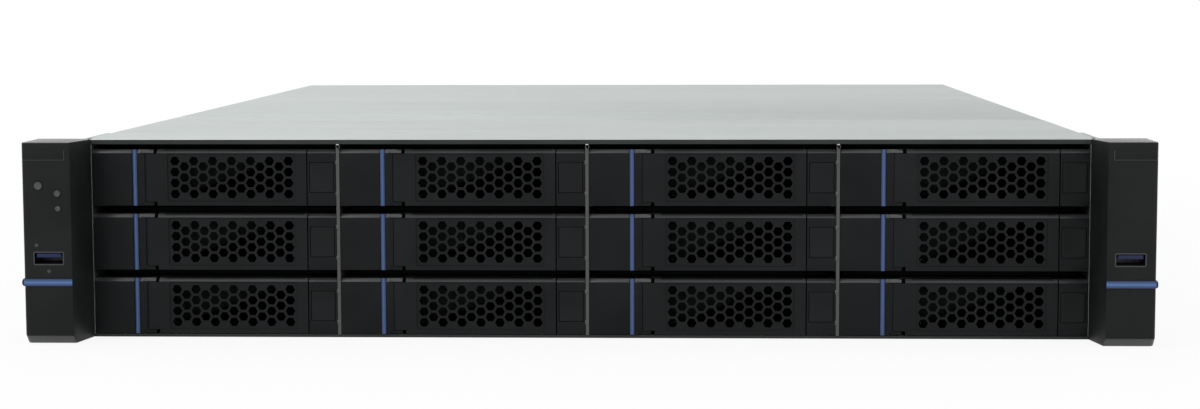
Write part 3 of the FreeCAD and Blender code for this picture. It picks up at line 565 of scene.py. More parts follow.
BLOCK_W = 21.6 * MM      # fixed block at the hinge end
CATCH_W = 12.4 * MM      # fixed block round the button
BEZEL_D = 16.0 * MM
BAY_D = 9.0 * MM         # bay behind the lever
LUG_T = 1.6 * MM
FRAME_BAR = 3.0 * MM     # frame round the air window
STRIPE_X = 17.4 * MM
STRIPE_W = 2.4 * MM
FRONT_CHAMFER = 1.5 * MM
BUTTON_GAP = 0.2 * MM
SLED_SHEET = 1.2 * MM
SLED_WALL = 2.65 * MM    # rail beside the drive
SLED_H = 20 * MM
BARREL_R = 2.4 * MM      # hinge end of the lever
PANEL_T = 2 * MM
TOOTH_IN = 1.5 * MM      # ribs and tooth, from the free end of the lever
FIELD_X = (11 * MM, 67.2 * MM)
FIELD_MARGIN = 1.7 * MM
HEX_COLUMNS = 13
HEX_PITCH = 4.8 * MM
HEX_FLATS = 3.75 * MM
HEX_X = 14.2 * MM        # first column, from the hinge end


def tray_front():
    """Front moulding: two fixed blocks, hinge lugs and the frame behind the lever."""
    low = Vector((TRAY_LOW.x, FACE_Y, LEVER_LOW.z))
    high = Vector((TRAY_HIGH.x, FACE_Y + BEZEL_D, LEVER_HIGH.z))
    x0 = low.x + BLOCK_W
    x1 = high.x - CATCH_W
    piece = block("tray_front", low, high)
    pivot = LEVER_LOW.x + BARREL_R
    lug_face = low.y + 0.5 * MM
    cut(piece,
        block("between_lugs", (x0, low.y - OVER, low.z + LUG_T),
              (x1, low.y + BAY_D, high.z - LUG_T)),
        block("lever_bay", (pivot + BARREL_R, low.y - OVER, low.z - OVER),
              (x1, low.y + BAY_D, high.z + OVER)),
        block("lug_front", (x0, low.y - OVER, low.z - OVER), (x1, lug_face, high.z + OVER)),
        block("air_window", (x0 + FRAME_BAR, low.y, low.z + FRAME_BAR),
              (x1 - FRAME_BAR, high.y + OVER, high.z - FRAME_BAR)),
        block("button_pocket", BUTTON_LOW - Vector((BUTTON_GAP, OVER, BUTTON_GAP)),
              BUTTON_HIGH + Vector((BUTTON_GAP, 3 * MM, BUTTON_GAP))),
        block("stripe_seat", (low.x + STRIPE_X, low.y - OVER, low.z - OVER),
              (low.x + STRIPE_X + STRIPE_W, low.y + 1 * MM, high.z + OVER)))
    add_on(piece, block("lip", (x0 - 1 * MM, low.y + 0.1 * MM, low.z + 1 * MM),
                        (pivot - 1.45 * MM, low.y + 0.45 * MM, high.z - 1.8 * MM)))
    lean(piece, lug_face, high.z, FRONT_CHAMFER)
    return soften(piece, 0.3 * MM)


def tray_stripe():
    """Accent stripe with a rounded face, which wraps over the top and bottom of the block."""
    low = Vector((TRAY_LOW.x + STRIPE_X, TRAY_LOW.y, LEVER_LOW.z))
    high = Vector((low.x + STRIPE_W, FACE_Y + 1 * MM, LEVER_HIGH.z))
    piece = block("tray_stripe", low, high)
    front = within(lambda at: at.y < low.y + NEAR)
    bevel(piece, lambda edge: front(edge) and reach(edge, "z") > 1 * MM, 0.8 * MM, 4)
    mark_across(smooth(piece, 60), "x", low.x, STRIPE_W)
    return piece


def tray_sled():
    """Pressed steel sled: a windowed front plate and two slotted side rails."""
    low = Vector((TRAY_LOW.x, FACE_Y + BEZEL_D, LEVER_LOW.z))
    high = Vector((TRAY_HIGH.x, TRAY_HIGH.y, LEVER_LOW.z + SLED_H))
    piece = block("tray_sled", low, high)
    foot_z = low.z + 2 * MM
    cut(piece,
        block("drive_room", (low.x + SLED_WALL, low.y + SLED_SHEET, low.z - OVER),
              (high.x - SLED_WALL, high.y + OVER, high.z + OVER)),
        block("air_window", (low.x + BLOCK_W + FRAME_BAR, low.y - OVER, low.z + FRAME_BAR),
              (high.x - CATCH_W - FRAME_BAR, low.y + 3 * MM, high.z + OVER)),
        block("left_of_rail", (low.x - OVER, low.y - OVER, foot_z),
              (low.x + SLED_WALL - SLED_SHEET, high.y + OVER, high.z + OVER)),
        block("right_of_rail", (high.x - SLED_WALL + SLED_SHEET, low.y - OVER, foot_z),
              (high.x + OVER, high.y + OVER, high.z + OVER)))
    for share in (0.3, 0.62):
        y = low.y + (high.y - low.y) * share
        cut(piece, block("slot", (low.x - OVER, y, low.z + 8 * MM),
                         (high.x + OVER, y + 22 * MM, low.z + 13 * MM)))
    return soften(piece, 0.25 * MM, 1)


def tray_drive():
    """3.5 inch drive: cast body with a lid pressed into its rim."""
    low = Vector((TRAY_LOW.x + SLED_WALL, FACE_Y + BEZEL_D + 2 * MM, LEVER_LOW.z + 0.2 * MM))
    high = Vector((TRAY_HIGH.x - SLED_WALL, TRAY_HIGH.y, TRAY_HIGH.z))
    piece = block("tray_drive", low, high)
    with editing(piece) as mesh:
        pick(mesh, mesh.faces, facing("z"))
        bpy.ops.mesh.inset(thickness=2.5 * MM)
        bpy.ops.transform.translate(value=(0, 0, -1.0 * MM))
        bpy.ops.mesh.inset(thickness=2.0 * MM)
        bpy.ops.transform.translate(value=(0, 0, 0.8 * MM))
    return soften(piece, 0.5 * MM, 2, 30)


def tray_lever():
    """Release lever: rounded hinge end, stiffening ribs, sunk field and its honeycomb grille."""
    low, high = LEVER_LOW, LEVER_HIGH
    pin_x = low.x + BARREL_R
    pin_y = low.y + BARREL_R
    inside_y = low.y + 1 * MM
    piece = block("tray_lever", (pin_x + 4 * MM, low.y, low.z),
                  (high.x, low.y + PANEL_T, high.z))
    lean(piece, low.y, high.z, FRONT_CHAMFER)
    rib_x = pin_x + 7 * MM
    rib_t = 1.2 * MM
    end_x = high.x - TOOTH_IN
    middle_z = low.z + FACE_H / 2
    barrel_z = low.z + 1.8 * MM
    add_on(piece,
           block("neck", (pin_x, low.y, barrel_z),
                 (pin_x + 5 * MM, low.y + PANEL_T, 2 * low.z + FACE_H - barrel_z)),
           block("rib", (rib_x, inside_y, low.z), (end_x, high.y, low.z + rib_t)),
           block("rib", (rib_x, inside_y, high.z - rib_t), (end_x, high.y, high.z)),
           block("tooth", (high.x - 3.5 * MM, inside_y, middle_z - 4 * MM),
                 (end_x, high.y, middle_z + 4 * MM)),
           drum("barrel", (pin_x, pin_y, barrel_z), BARREL_R, FACE_H - 3.6 * MM, "Z", 32))
    soften(piece, 0.4 * MM)
    pin = drum("pin", (pin_x, pin_y, low.z + 0.4 * MM), 1 * MM, FACE_H - 0.8 * MM, "Z", 20)
    field = block("field", (low.x + FIELD_X[0], low.y - OVER, low.z + FIELD_MARGIN),
                  (low.x + FIELD_X[1], low.y + 0.5 * MM, high.z - FIELD_MARGIN))
    bevel(field, longer("y", 1 * MM), 1.2 * MM, 3)
    cut(piece, field)
    cut(piece, honeycomb(low))
    return join([smooth(piece), smooth(pin)])


def honeycomb(low):
    """The cutter of the grille: columns of four and three hexagonal holes by turns."""
    step = HEX_PITCH * math.sqrt(3) / 2
    radius = HEX_FLATS / math.sqrt(3)
    holes = []
    for column in range(HEX_COLUMNS):
        count = 4 - column % 2
        for row in range(count):
            x = low.x + HEX_X + column * step
            z = low.z + FACE_H / 2 + (row - (count - 1) / 2) * HEX_PITCH
            holes.append(drum("hole", (x, low.y - 1 * MM, z), radius, 6 * MM, "Y", 6, math.pi / 6))
    return join(holes)


def tray_button():
    """Square push button with a shallow dish."""
    piece = block("tray_button", BUTTON_LOW, BUTTON_HIGH)
    press(piece, facing("y", -1), 1.1 * MM, (0, 0.35 * MM, 0))
    return soften(piece, 0.3 * MM)


def trays():
    """Every piece of a tray, modelled once and copied to the twelve bays."""
    # The last entry of each part picks the faces that take the painted highlight.
    parts = [(tray_front(), TRAY_BLACK, "tray", "tray_plastic", upper_round),
             (tray_stripe(), STRIPE_BLUE, "tray", "accent_plastic", None),
             (tray_sled(), CASE_STEEL, "tray", "galvanised", None),
             (tray_drive(), DRIVE_PAINTED_SHADE, "tray", "sink", None),
             (tray_lever(), LEVER_BLACK, "lever", "tray_plastic", lever_painted_highlight),
             (tray_button(), BUTTON_GREY, "button", "button_plastic", upper_round)]
    spread(parts, [("_r%d_c%d" % bay, tray_shift(*bay)) for bay in BAYS])


# ------------------------------------------------------------------ front of the chassis

def header():
    """Painted cross-member over the trays with bare sheet on top, and a thin dark strip under them,
    painted shade over the front edge of the base.
    """
    low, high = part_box("front_header")
    piece = block("header_bar", low, high)
    bevel(piece, within(lambda at: at.y < low.y + NEAR and at.z > high.z - NEAR), 0.9 * MM, 4)
    fit(smooth(piece), HEADER_PAINT, "chassis", "dark_paint", "front_header",
        lit=lambda face: face.normal.z > 0.8, sheen=TOP_STEEL)
    # Painted shade: a thin dark strip laid over the steel front edge of the base below the trays.
    shade_strip = block("front_shade_strip", (low.x, FACE_Y - 0.15 * MM, 0), (high.x, FACE_Y, 1.25 * MM))
    fit(soften(shade_strip, 0.06 * MM, 1), HEADER_PAINT, "chassis", "dark_paint")


def divider_strip(x):
    """Folded steel edge of a cage divider, with a curled top and sprung grounding fingers."""
    half = 0.75 * MM
    y = CAGE_LOW.y - 0.1 * MM
    top = CAGE_HIGH.z - 1.6 * MM
    strip = block("divider_edge", (x - half, y, CAGE_LOW.z), (x + half, y + 1.2 * MM, top))
    with editing(strip) as mesh:
        pick(mesh, mesh.faces, facing("z"))
        bpy.ops.mesh.spin(steps=5, angle=math.radians(-75), center=(x + half + 0.5 * MM, y, top),
                          axis=(0, -1, 0))
    smooth(soften(strip, 0.35 * MM, 3, 50), 50)
    for row in range(ROWS):
        base = TRAY_LOW.z + tray_shift(row + 1, 1).z + FACE_H / 2
        for lift in (-7.0 * MM, 6.5 * MM):
            finger = drum("finger", (x - 0.35 * MM, y + 0.7 * MM, base + lift - 1.1 * MM),
                          0.95 * MM, 2.2 * MM, "Z", 20)
            bevel(finger, lambda edge: reach(edge, "z") < LEVEL, 0.5 * MM, 3)
            strip = join([strip, smooth(finger, 60)])
    return strip


def dividers():
    """The three divider edges, each half way between two trays."""
    for column in range(1, COLUMNS):
        left = TRAY_HIGH + tray_shift(1, column)
        right = TRAY_LOW + tray_shift(1, column + 1)
        strip = divider_strip((left.x + right.x) / 2)
        strip.name = "divider_edge_%d" % column
        fit(strip, SPRING_STEEL, "chassis", "galvanised")


def chassis_skin():
    """Finishes of the CAD nodes that are shown as they are."""
    finishes = {"front_cover": TOP_STEEL, "chassis_base": CASE_STEEL, "drive_cage": CASE_STEEL,
                "rear_panel": CASE_STEEL, "slot_covers": PSU_STEEL, "backplane": BACKPLANE,
                "system_boards": BOARDS, "memory_modules": MEMORY, "heatsinks": SINK_METAL,
                "fan_frames": DARK_PLASTIC}
    finishes.update(("fan_rotor_%d" % number, DARK_PLASTIC) for number in (1, 2, 3, 4))
    for name, material in finishes.items():
        mesh = frame["nodes"][name].data
        mesh.materials.clear()
        mesh.materials.append(material)


# ------------------------------------------------------------------ rack ears

EAR_PROUD = 0.5 * MM      # accent strip ahead of the plastic
EAR_X1 = EAR_HIGH.x - EAR_PROUD
EAR_FACE = EAR_LOW.y + EAR_PROUD
EAR_X0 = EAR_X1 - 22.0 * MM
EAR_BACK = FACE_Y + 2.0 * MM
EAR_TOP = EAR_HIGH.z
LIP_X = EAR_LOW.x
USB_X = (EAR_X0 + EAR_X1) / 2
USB_Z = 37.2 * MM
USB_HALF_W = 6.6 * MM
USB_HALF_H = 2.9 * MM
ACCENT_Z = 26.8 * MM
ACCENT_HALF = 1.6 * MM
ACCENT_SEAT = 1.2 * MM
RACK_HOLE_IN = 8.75 * MM     # from the outer edge of the ear
RACK_HOLE_Z = (5.4 * MM, EAR_TOP - 5.4 * MM)
WALL_SCREW_Y = EAR_HIGH.y - 12 * MM
WALL_SCREW_Z = (20 * MM, EAR_TOP - 20 * MM)
LAMP_BELOW = 6.6 * MM        # status lamp under the identification button


def ear_shell(name):
    """Moulded cover of the right ear: slanted inner side, chamfered foot, capped top."""
    piece = block(name, (EAR_X0 + 1 * MM, EAR_FACE, 0), (EAR_X1, EAR_BACK, EAR_TOP))
    rake = EAR_X0 + 1 * MM - LIP_X
    add_on(piece, slanted("rake", (LIP_X, EAR_FACE, 0),
                          (EAR_X0 + 3 * MM, FACE_Y - 0.3 * MM, EAR_TOP),
                          lambda v: v.co.x < LIP_X + NEAR and v.co.y < EAR_FACE + NEAR,
                          (rake, 0, 0)))
    foot = 3.5 * MM + 2 * OVER
    cut(piece, slanted("foot", (LIP_X - OVER, EAR_FACE - OVER, -OVER),
                       (EAR_X1 + OVER, EAR_FACE - OVER + foot, foot - OVER),
                       lambda v: v.co.y > EAR_FACE and v.co.z > 0, (0, NEAR - foot, 0)))
    bevel(piece, within(lambda at: at.x > EAR_X1 - NEAR and at.y < EAR_FACE + 4 * MM),
          1.9 * MM, 5)
    soften(piece, 0.7 * MM, 3, 30)
    cut(piece, block("hollow", (EAR_X0 + 2 * MM, EAR_FACE + 5.5 * MM, 2 * MM),
                     (EAR_X1 - 2 * MM, EAR_BACK + OVER, EAR_TOP - 2 * MM)))
    cut(piece,
        block("accent_seat", (EAR_X0 + 1 * MM, EAR_FACE - OVER, ACCENT_Z - ACCENT_HALF),
              (EAR_X1 + OVER, EAR_FACE + ACCENT_SEAT, ACCENT_Z + ACCENT_HALF)),
        block("accent_side", (EAR_X1 - ACCENT_SEAT, EAR_FACE - OVER, ACCENT_Z - ACCENT_HALF),
              (EAR_X1 + OVER, EAR_BACK + OVER, ACCENT_Z + ACCENT_HALF)),
        usb_outline("usb_seat", 0.0, OVER))
    cap = block("cap", (EAR_X0 + 3.2 * MM, EAR_FACE - 0.35 * MM, EAR_TOP - 7.7 * MM),
                (EAR_X1 - 0.5 * MM, EAR_FACE + 0.3 * MM, EAR_TOP - 3.3 * MM))
    soften(cap, 0.3 * MM, 2)
    return join([piece, cap])


def usb_outline(name, inset, ahead, depth=14 * MM):
    """Block the size of the USB shell, smaller by an inset."""
    return block(name, (USB_X - USB_HALF_W + inset, EAR_FACE - ahead, USB_Z - USB_HALF_H + inset),
                 (USB_X + USB_HALF_W - inset, EAR_FACE + depth - inset,
                  USB_Z + USB_HALF_H - inset))


def ear_accent(name):
    """Blue strip round the outer front corner, with a rounded face."""
    low_z, high_z = ACCENT_Z - ACCENT_HALF, ACCENT_Z + ACCENT_HALF
    piece = block(name, (EAR_X0 + 1 * MM, EAR_FACE - EAR_PROUD, low_z),
                  (EAR_X1 + EAR_PROUD, EAR_FACE + ACCENT_SEAT, high_z))
    add_on(piece, block("side", (EAR_X1 - ACCENT_SEAT, EAR_FACE, low_z),
                        (EAR_X1 + EAR_PROUD, EAR_BACK, high_z)))
    bevel(piece, within(lambda at: at.x > EAR_X1 and at.y < EAR_FACE), 1.0 * MM, 4)
    soften(piece, 0.8 * MM, 4, 50)
    mark_across(piece, "z", low_z, 2 * ACCENT_HALF)
    return piece


def mark_across(piece, axis, start, width):
    """Stores how far across the strip each point lies, for its colour."""
    across = piece.data.attributes.new("across", "FLOAT", "POINT")
    for vertex in piece.data.vertices:
        across.data[vertex.index].value = (getattr(vertex.co, axis) - start) / width


def ear_usb(name):
    """Nickel shell of the USB socket with rounded corners."""
    piece = usb_outline(name, 0, 0)
    bevel(piece, longer("y", 1 * MM), 0.6 * MM, 3)
    cut(piece, usb_outline("mouth", 0.45 * MM, 1 * MM))
    return smooth(piece)


def ear_usb_tongue(name):
    """Plastic tongue in the socket."""
    piece = block(name, (USB_X - 5.4 * MM, EAR_FACE + 0.5 * MM, USB_Z + 0.3 * MM),
                  (USB_X + 5.4 * MM, EAR_FACE + 13 * MM, USB_Z + 2.1 * MM))
    return soften(piece, 0.3 * MM, 2)


def ear_bracket(name):
    """Folded steel angle behind the ear, with its rack holes."""
    wall = CHASSIS_HIGH.x
    piece = block(name, (wall, EAR_BACK, 0), (EAR_X1, EAR_BACK + 2 * MM, EAR_TOP))
    add_on(piece, block("leg", (wall, EAR_BACK, 0), (wall + 2 * MM, EAR_HIGH.y, EAR_TOP)))
    bevel(piece, within(lambda at: at.x < wall + NEAR and at.y < EAR_BACK + NEAR), 1.6 * MM, 5)
    for z in RACK_HOLE_Z:
        cut(piece, drum("rack_hole", (EAR_X1 - RACK_HOLE_IN, EAR_BACK - 1 * MM, z),
                        3.5 * MM, 4 * MM))
    for z in WALL_SCREW_Z:
        cut(piece, drum("screw_hole", (wall - 1 * MM, WALL_SCREW_Y, z), 2.2 * MM, 4 * MM, "X"))
    return soften(piece, 0.3 * MM, 1)


def bracket_screw(name, z):
    """Low crowned screw that holds the ear bracket to the wall."""
    x = CHASSIS_HIGH.x + 0.4 * MM
    return screw_head(name, (x, WALL_SCREW_Y, z), 2.1 * MM, 1.4 * MM, "X")


def screw_head(name, centre, radius, height, axis="Y"):
    """Low crowned screw head with a cross recess."""
    piece = drum(name, centre, radius, height, axis, 24)
    way = "XYZ".index(axis)
    outer = centre[way] + height
    bevel(piece, within(lambda at: abs(at[way] - outer) < LEVEL), min(radius, height) * 0.45, 3)
    half = [radius * 0.14] * 3
    for long_axis in range(3):
        if long_axis == way:
            continue
        size = list(half)
        size[long_axis] = radius * 0.6
        size[way] = height * 0.6
        middle = Vector(centre)
        middle[way] = outer
        cut(piece, block("recess", middle - Vector(size), middle + Vector(size)))
    return smooth(piece, 30)


def ears():
    """The right ear, its mirrored twin at the left, and what only the left one has."""
    shell = ear_shell("ear_cover_right")
    accent = ear_accent("ear_accent_right")
    usb = ear_usb("usb_shell_right")
    tongue = ear_usb_tongue("usb_tongue_right")
    bracket = ear_bracket("ear_bracket_right")
    screws = join([bracket_screw("bracket_screws_right", z) for z in WALL_SCREW_Z])
    for piece, material, slot, lit in (
            (shell, EAR_GREY, "ear_plastic", ear_painted_highlight), (accent, BLUE, "accent_plastic", None),
            (usb, SHADED_NICKEL, "psu_metal", None), (tongue, TONGUE_BLUE, "accent_plastic", None),
            (bracket, CASE_STEEL, "galvanised", None), (screws, ZINC, "galvanised", None)):
        twin = mirrored(piece, piece.name.replace("right", "left"))
        if piece is accent:
            mark_across(twin, "z", ACCENT_Z - ACCENT_HALF, 2 * ACCENT_HALF)
        if piece is shell:
            control_holes(twin)
        fit(twin, material, "chassis", slot, "ear_left", lit=lit)
        fit(piece, material, "chassis", slot, "ear_right", lit=lit)
    controls()


def control_holes(shell):
    """Holes for the two push buttons, and the seat of the status lamp."""
    for button in ("power_button", "id_button"):
        low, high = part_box(button)
        cut(shell, drum("hole", ((low.x + high.x) / 2, EAR_FACE - 2 * MM, (low.z + high.z) / 2),
                        (high.x - low.x) / 2 + 0.15 * MM, 9 * MM))
    x, z = lamp_place()
    cut(shell, drum("lamp_seat", (x, EAR_FACE - 2 * MM, z), 1.3 * MM, 4 * MM))


def lamp_place():
    """Where the status lamp sits, in x and z."""
    low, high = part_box("id_button")
    return (low.x + high.x) / 2, (low.z + high.z) / 2 - LAMP_BELOW


def round_button(name, node_name, dish):
    """Round button with a rounded rim and a dished face."""
    low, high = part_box(node_name)
    radius = (high.x - low.x) / 2
    piece = drum(name, ((low.x + high.x) / 2, low.y, (low.z + high.z) / 2),
                 radius, high.y - low.y, "Y", 32)
    press(piece, facing("y", -1), radius * 0.3, (0, dish, 0))
    return soften(piece, 0.22 * MM, 3, 40)


def controls():
    """Power and locator buttons, the lamp below them, and the two marks at the USB port."""
    fit(round_button("power_key", "power_button", 0.35 * MM), LENS_GREY, "power_button",
        "button_plastic", "power_button")
    fit(round_button("locator_key", "id_button", 0.25 * MM), LENS_GREY, "id_button",
        "button_plastic", "id_button")
    x, z = lamp_place()
    lens = drum("status_lamp", (x, EAR_FACE - 0.35 * MM, z), 1.2 * MM, 2.2 * MM, "Y", 32)
    bevel(lens, within(lambda at: at.y < EAR_FACE), 0.3 * MM, 3)
    fit(smooth(lens), LENS_GREY, "chassis", "button_plastic")
    marks = [drum("usb_mark", (-USB_X + 5.2 * MM * side, EAR_FACE - 0.05 * MM, z),
                  0.75 * MM, 0.6 * MM) for side, z in ((-1, 42.9 * MM), (0, 31.6 * MM))]
    fit(smooth(join(marks)), MARK_GREY, "chassis", "button_plastic")


# ------------------------------------------------------------------ main cover

COVER_TAB_W = 18.0 * MM
COVER_TAB_H = 15.0 * MM
COVER_TABS = (-119.45 * MM, 127.6 * MM)
KNOB_R = 4.3 * MM
KNOB_H = 8.6 * MM


def cover_sheet():
    """Folded sheet of the sliding cover: tongue, side strips and two rear tabs."""
    low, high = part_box("main_cover")
    sheet_z = high.z - 1.0 * MM
    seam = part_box("front_cover")[1].y + 0.6 * MM
    inner = high.x - 1.3 * MM
    sheet = block("main_cover_sheet", (low.x, seam, sheet_z), (high.x, REAR_Y, high.z))
    parts = [soften(sheet, 0.3 * MM, 3)]
    tongue = block("tongue", (20 * MM - inner, low.y, sheet_z - 1 * MM),
                   (inner - 20 * MM, seam + 12 * MM, sheet_z))
    parts.append(soften(tongue, 0.2 * MM, 1))
    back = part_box("backplane")[1].y + 0.1 * MM
    for side in (-1, 1):
        ends = sorted((side * inner, side * (inner - 1 * MM)))
        strip = block("strip", (ends[0], back, high.z - 10 * MM), (ends[1], REAR_Y, sheet_z))
        parts.append(soften(strip, 0.15 * MM, 1))
    for x in COVER_TABS:
        tab = block("tab", (x - COVER_TAB_W / 2, REAR_Y, high.z - COVER_TAB_H),
                    (x + COVER_TAB_W / 2, REAR_Y + 1 * MM, high.z))
        below = within(lambda at: at.z < high.z - 1 * MM)
        bevel(tab, lambda edge: below(edge) and reach(edge, "y") > 0.5 * MM, 3 * MM, 6)
        parts.append(soften(tab, 0.25 * MM, 2))
    return join(parts)


def thumbscrew(name, x, z):
    """Captive thumbscrew with a knurled rim and a slotted, raised end."""
    y = REAR_Y + 1 * MM
    piece = drum(name, (x, y, z), KNOB_R, KNOB_H, "Y", 36)
    with editing(piece) as mesh:
        rim = sorted((face for face in mesh.faces if abs(face.normal.y) < 0.1),
                     key=lambda face: math.atan2(face.normal.z, face.normal.x))
        for index, face in enumerate(rim):
            face.select_set(index % 2 == 0)
        bpy.ops.mesh.inset(thickness=0.12 * MM, use_individual=True)
        bpy.ops.transform.shrink_fatten(value=-0.25 * MM)
    press(piece, facing("y"), 1.0 * MM, (0, 0.3 * MM, 0))
    cut(piece, block("slot", (x - 3 * MM, y + 8.2 * MM, z - 0.5 * MM),
                     (x + 3 * MM, y + 10 * MM, z + 0.5 * MM)))
    shank = drum("shank", (x, REAR_Y - 9 * MM, z), 1.5 * MM, 10 * MM, "Y", 20)
    return join([smooth(piece, 25), smooth(shank)])


def covers():
    """The sliding cover and its two thumbscrews."""
    fit(cover_sheet(), TOP_STEEL, "main_cover", "galvanised", "main_cover")
    knob_z = COVER_Z + 1 * MM - COVER_TAB_H / 2
    knobs = join([thumbscrew("cover_thumbscrews", x, knob_z) for x in COVER_TABS])
    fit(knobs, NICKEL, "main_cover", "galvanised")


# ------------------------------------------------------------------ power supplies

PSU_LOW, PSU_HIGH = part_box("power_supply_1")
PSU_LATCH_LOW, PSU_LATCH_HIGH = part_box("psu_latch_1")
PSU_MID = (PSU_LOW.z + PSU_HIGH.z) / 2
INLET_X = PSU_HIGH.x - 18.5 * MM
INLET_HALF_W = 12 * MM
INLET_HALF_H = 8 * MM
AIR_X = 13.8 * MM        # first column of the air field, from the side of the supply
AIR_PITCH = 4.3 * MM
LATCH_GAP = 0.1 * MM
LATCH_STROKE = 2.5 * MM


def inlet_block(name, grow, y0, y1):
    """Block the size of the mains inlet, larger by grow on each side."""
    return block(name, (INLET_X - INLET_HALF_W - grow, y0, PSU_MID - INLET_HALF_H - grow),
                 (INLET_X + INLET_HALF_W + grow, y1, PSU_MID + INLET_HALF_H + grow))


def supply_case():
    """Plated case with the inlet recess, the latch pocket and a perforated air field."""
    piece = block("supply_case", PSU_LOW, (PSU_HIGH.x, REAR_Y, PSU_HIGH.z))
    soften(piece, 0.6 * MM, 3)
    past = REAR_Y + 1 * MM
    pocket = block("pocket", PSU_LATCH_LOW - Vector((LATCH_GAP, LATCH_GAP, LATCH_GAP)),
                   (PSU_LATCH_HIGH.x + LATCH_STROKE + LATCH_GAP, past,
                    PSU_LATCH_HIGH.z + LATCH_GAP))
    cut(piece, inlet_block("recess", 0, REAR_Y - 16 * MM, past), pocket)
    holes = []
    for column in range(8):
        for row in range(8 - column % 2):
            x = PSU_LOW.x + AIR_X + column * AIR_PITCH * math.sqrt(3) / 2
            z = PSU_MID + (row - (7 - column % 2) / 2) * AIR_PITCH
            holes.append(drum("hole", (x, REAR_Y - 3 * MM, z), 1.95 * MM, 4 * MM, "Y", 6,
                              math.pi / 6))
    cut(piece, join(holes))
    return smooth(piece)


def supply_inlet():
    """Black moulded inlet: a flange and a walled recess."""
    piece = inlet_block("supply_inlet", 1.2 * MM, REAR_Y, REAR_Y + 0.8 * MM)
    bevel(piece, longer("y", 0.5 * MM), 1.6 * MM, 4)
    soften(piece, 0.25 * MM, 2)
    liner = inlet_block("liner", 0, REAR_Y - 15.9 * MM, REAR_Y + 0.5 * MM)
    add_on(piece, liner)
    cut(piece, inlet_block("mouth", -0.9 * MM, REAR_Y - 15.2 * MM, REAR_Y + 2 * MM))
    return smooth(piece)


def supply_pins():
    """The earth blade and the two line blades, with rounded edges."""
    pins = []
    for dx, dz in ((-7, -2), (0, 2), (7, -2)):
        x = INLET_X + dx * MM
        z = PSU_MID + dz * MM
        pin = block("supply_pins", (x - 1 * MM, REAR_Y - 15.9 * MM, z - 2 * MM),
                    (x + 1 * MM, REAR_Y - 3 * MM, z + 2 * MM))
        pins.append(soften(pin, 0.5 * MM, 3))
    return join(pins)


def supply_handle():
    """Bent loop handle with rounded corners."""
    x0 = PSU_LOW.x + 14 * MM
    x1 = x0 + 26 * MM
    y1 = PSU_HIGH.y
    z0 = PSU_MID - 5 * MM
    z1 = PSU_MID + 5 * MM
    piece = block("supply_handle", (x0, REAR_Y, z0), (x1, y1, z1))
    end = within(lambda at: at.y > y1 - NEAR)
    bevel(piece, lambda edge: end(edge) and reach(edge, "z") > 1 * MM, 3.5 * MM, 5)
    cut(piece, block("gap", (x0 + 3 * MM, REAR_Y - 1 * MM, z0 - 1 * MM),
                     (x1 - 3 * MM, y1 - 3 * MM, z1 + 1 * MM)))
    return soften(piece, 0.9 * MM, 3, 50)


def supply_latch():
    """Moulded release tab with grip ridges at its free end."""
    piece = block("supply_latch", PSU_LATCH_LOW, PSU_LATCH_HIGH)
    for index in range(4):
        y = PSU_LATCH_HIGH.y - (2.5 + 2 * index) * MM
        cut(piece, block("groove", (PSU_LATCH_HIGH.x - 0.5 * MM, y, PSU_LATCH_LOW.z - 1 * MM),
                         (PSU_LATCH_HIGH.x + 1 * MM, y + 1 * MM, PSU_LATCH_HIGH.z + 1 * MM)))
    return soften(piece, 0.3 * MM, 2)


def supply_lamp():
    """Status lamp of the supply, a small domed lens."""
    centre = (PSU_HIGH.x - 6 * MM, REAR_Y - 0.5 * MM, PSU_HIGH.z - 6 * MM)
    lens = drum("supply_lamp", centre, 1.3 * MM, 1.2 * MM)
    bevel(lens, within(lambda at: at.y > REAR_Y), 0.6 * MM, 4)
    return smooth(lens, 60)


def supplies():
    """Every piece of a power supply, modelled once and copied to the two bays."""
    parts = [(supply_case(), PSU_STEEL, "power_supply", "psu_metal", None),
             (supply_inlet(), DARK_PLASTIC, "power_supply", "dark_plastic", None),
             (supply_pins(), NICKEL, "power_supply", "psu_metal", None),
             (supply_handle(), DARK_PLASTIC, "power_supply", "dark_plastic", None),
             (supply_lamp(), LENS_GREY, "power_supply", "button_plastic", None),
             (supply_latch(), LATCH_BLUE, "psu_latch", "accent_plastic", None)]
    spread(parts, [("_" + number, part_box("power_supply_" + number)[0] - PSU_LOW)
                   for number in "12"])


# ------------------------------------------------------------------ rear and sides

SLOT_EDGE = 9.2 * MM         # middle of the first slot cover, from their common edge
PANEL_SCREWS = ((213.4 * MM, 62 * MM), (213.4 * MM, 14 * MM), (-137.4 * MM, 44 * MM),
                (-137.4 * MM, 8 * MM), (62 * MM, 66 * MM), (192 * MM, 66 * MM))
USB_PORTS_X = (131.78 * MM, 154.12 * MM)
USB_PORTS_Z = (11.3 * MM, 19.5 * MM)
NETWORK_PORTS_X = (63.26 * MM, 86.2 * MM, 109.14 * MM)
SCREEN_X = 184.36 * MM
SCREEN_Z = 17.5 * MM
STUDS_Y = (-0.19, 0.02, 0.23)
STUD_Z = 43.5 * MM
STUD_NECK = 2.2 * MM
RIVETS_Y = (-0.24, -0.19, -0.13, -0.06, 0.06, 0.18, 0.285)
RIVETS_Z = (8 * MM, 70 * MM)


def rear_screws():
    """Pan-head screws that hold the rear panel and the slot covers."""
    slot_low, slot_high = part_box("slot_covers")
    step = (slot_high.x - slot_low.x - 2 * SLOT_EDGE) / 6
    heads = [(slot_low.x + SLOT_EDGE + step * index, COVER_Z - 3.6 * MM) for index in range(7)]
    heads += PANEL_SCREWS
    screws = [screw_head("rear_screws", (x, REAR_Y, z), 2.2 * MM, 1.3 * MM) for x, z in heads]
    fit(join(screws), ZINC, "chassis", "galvanised")


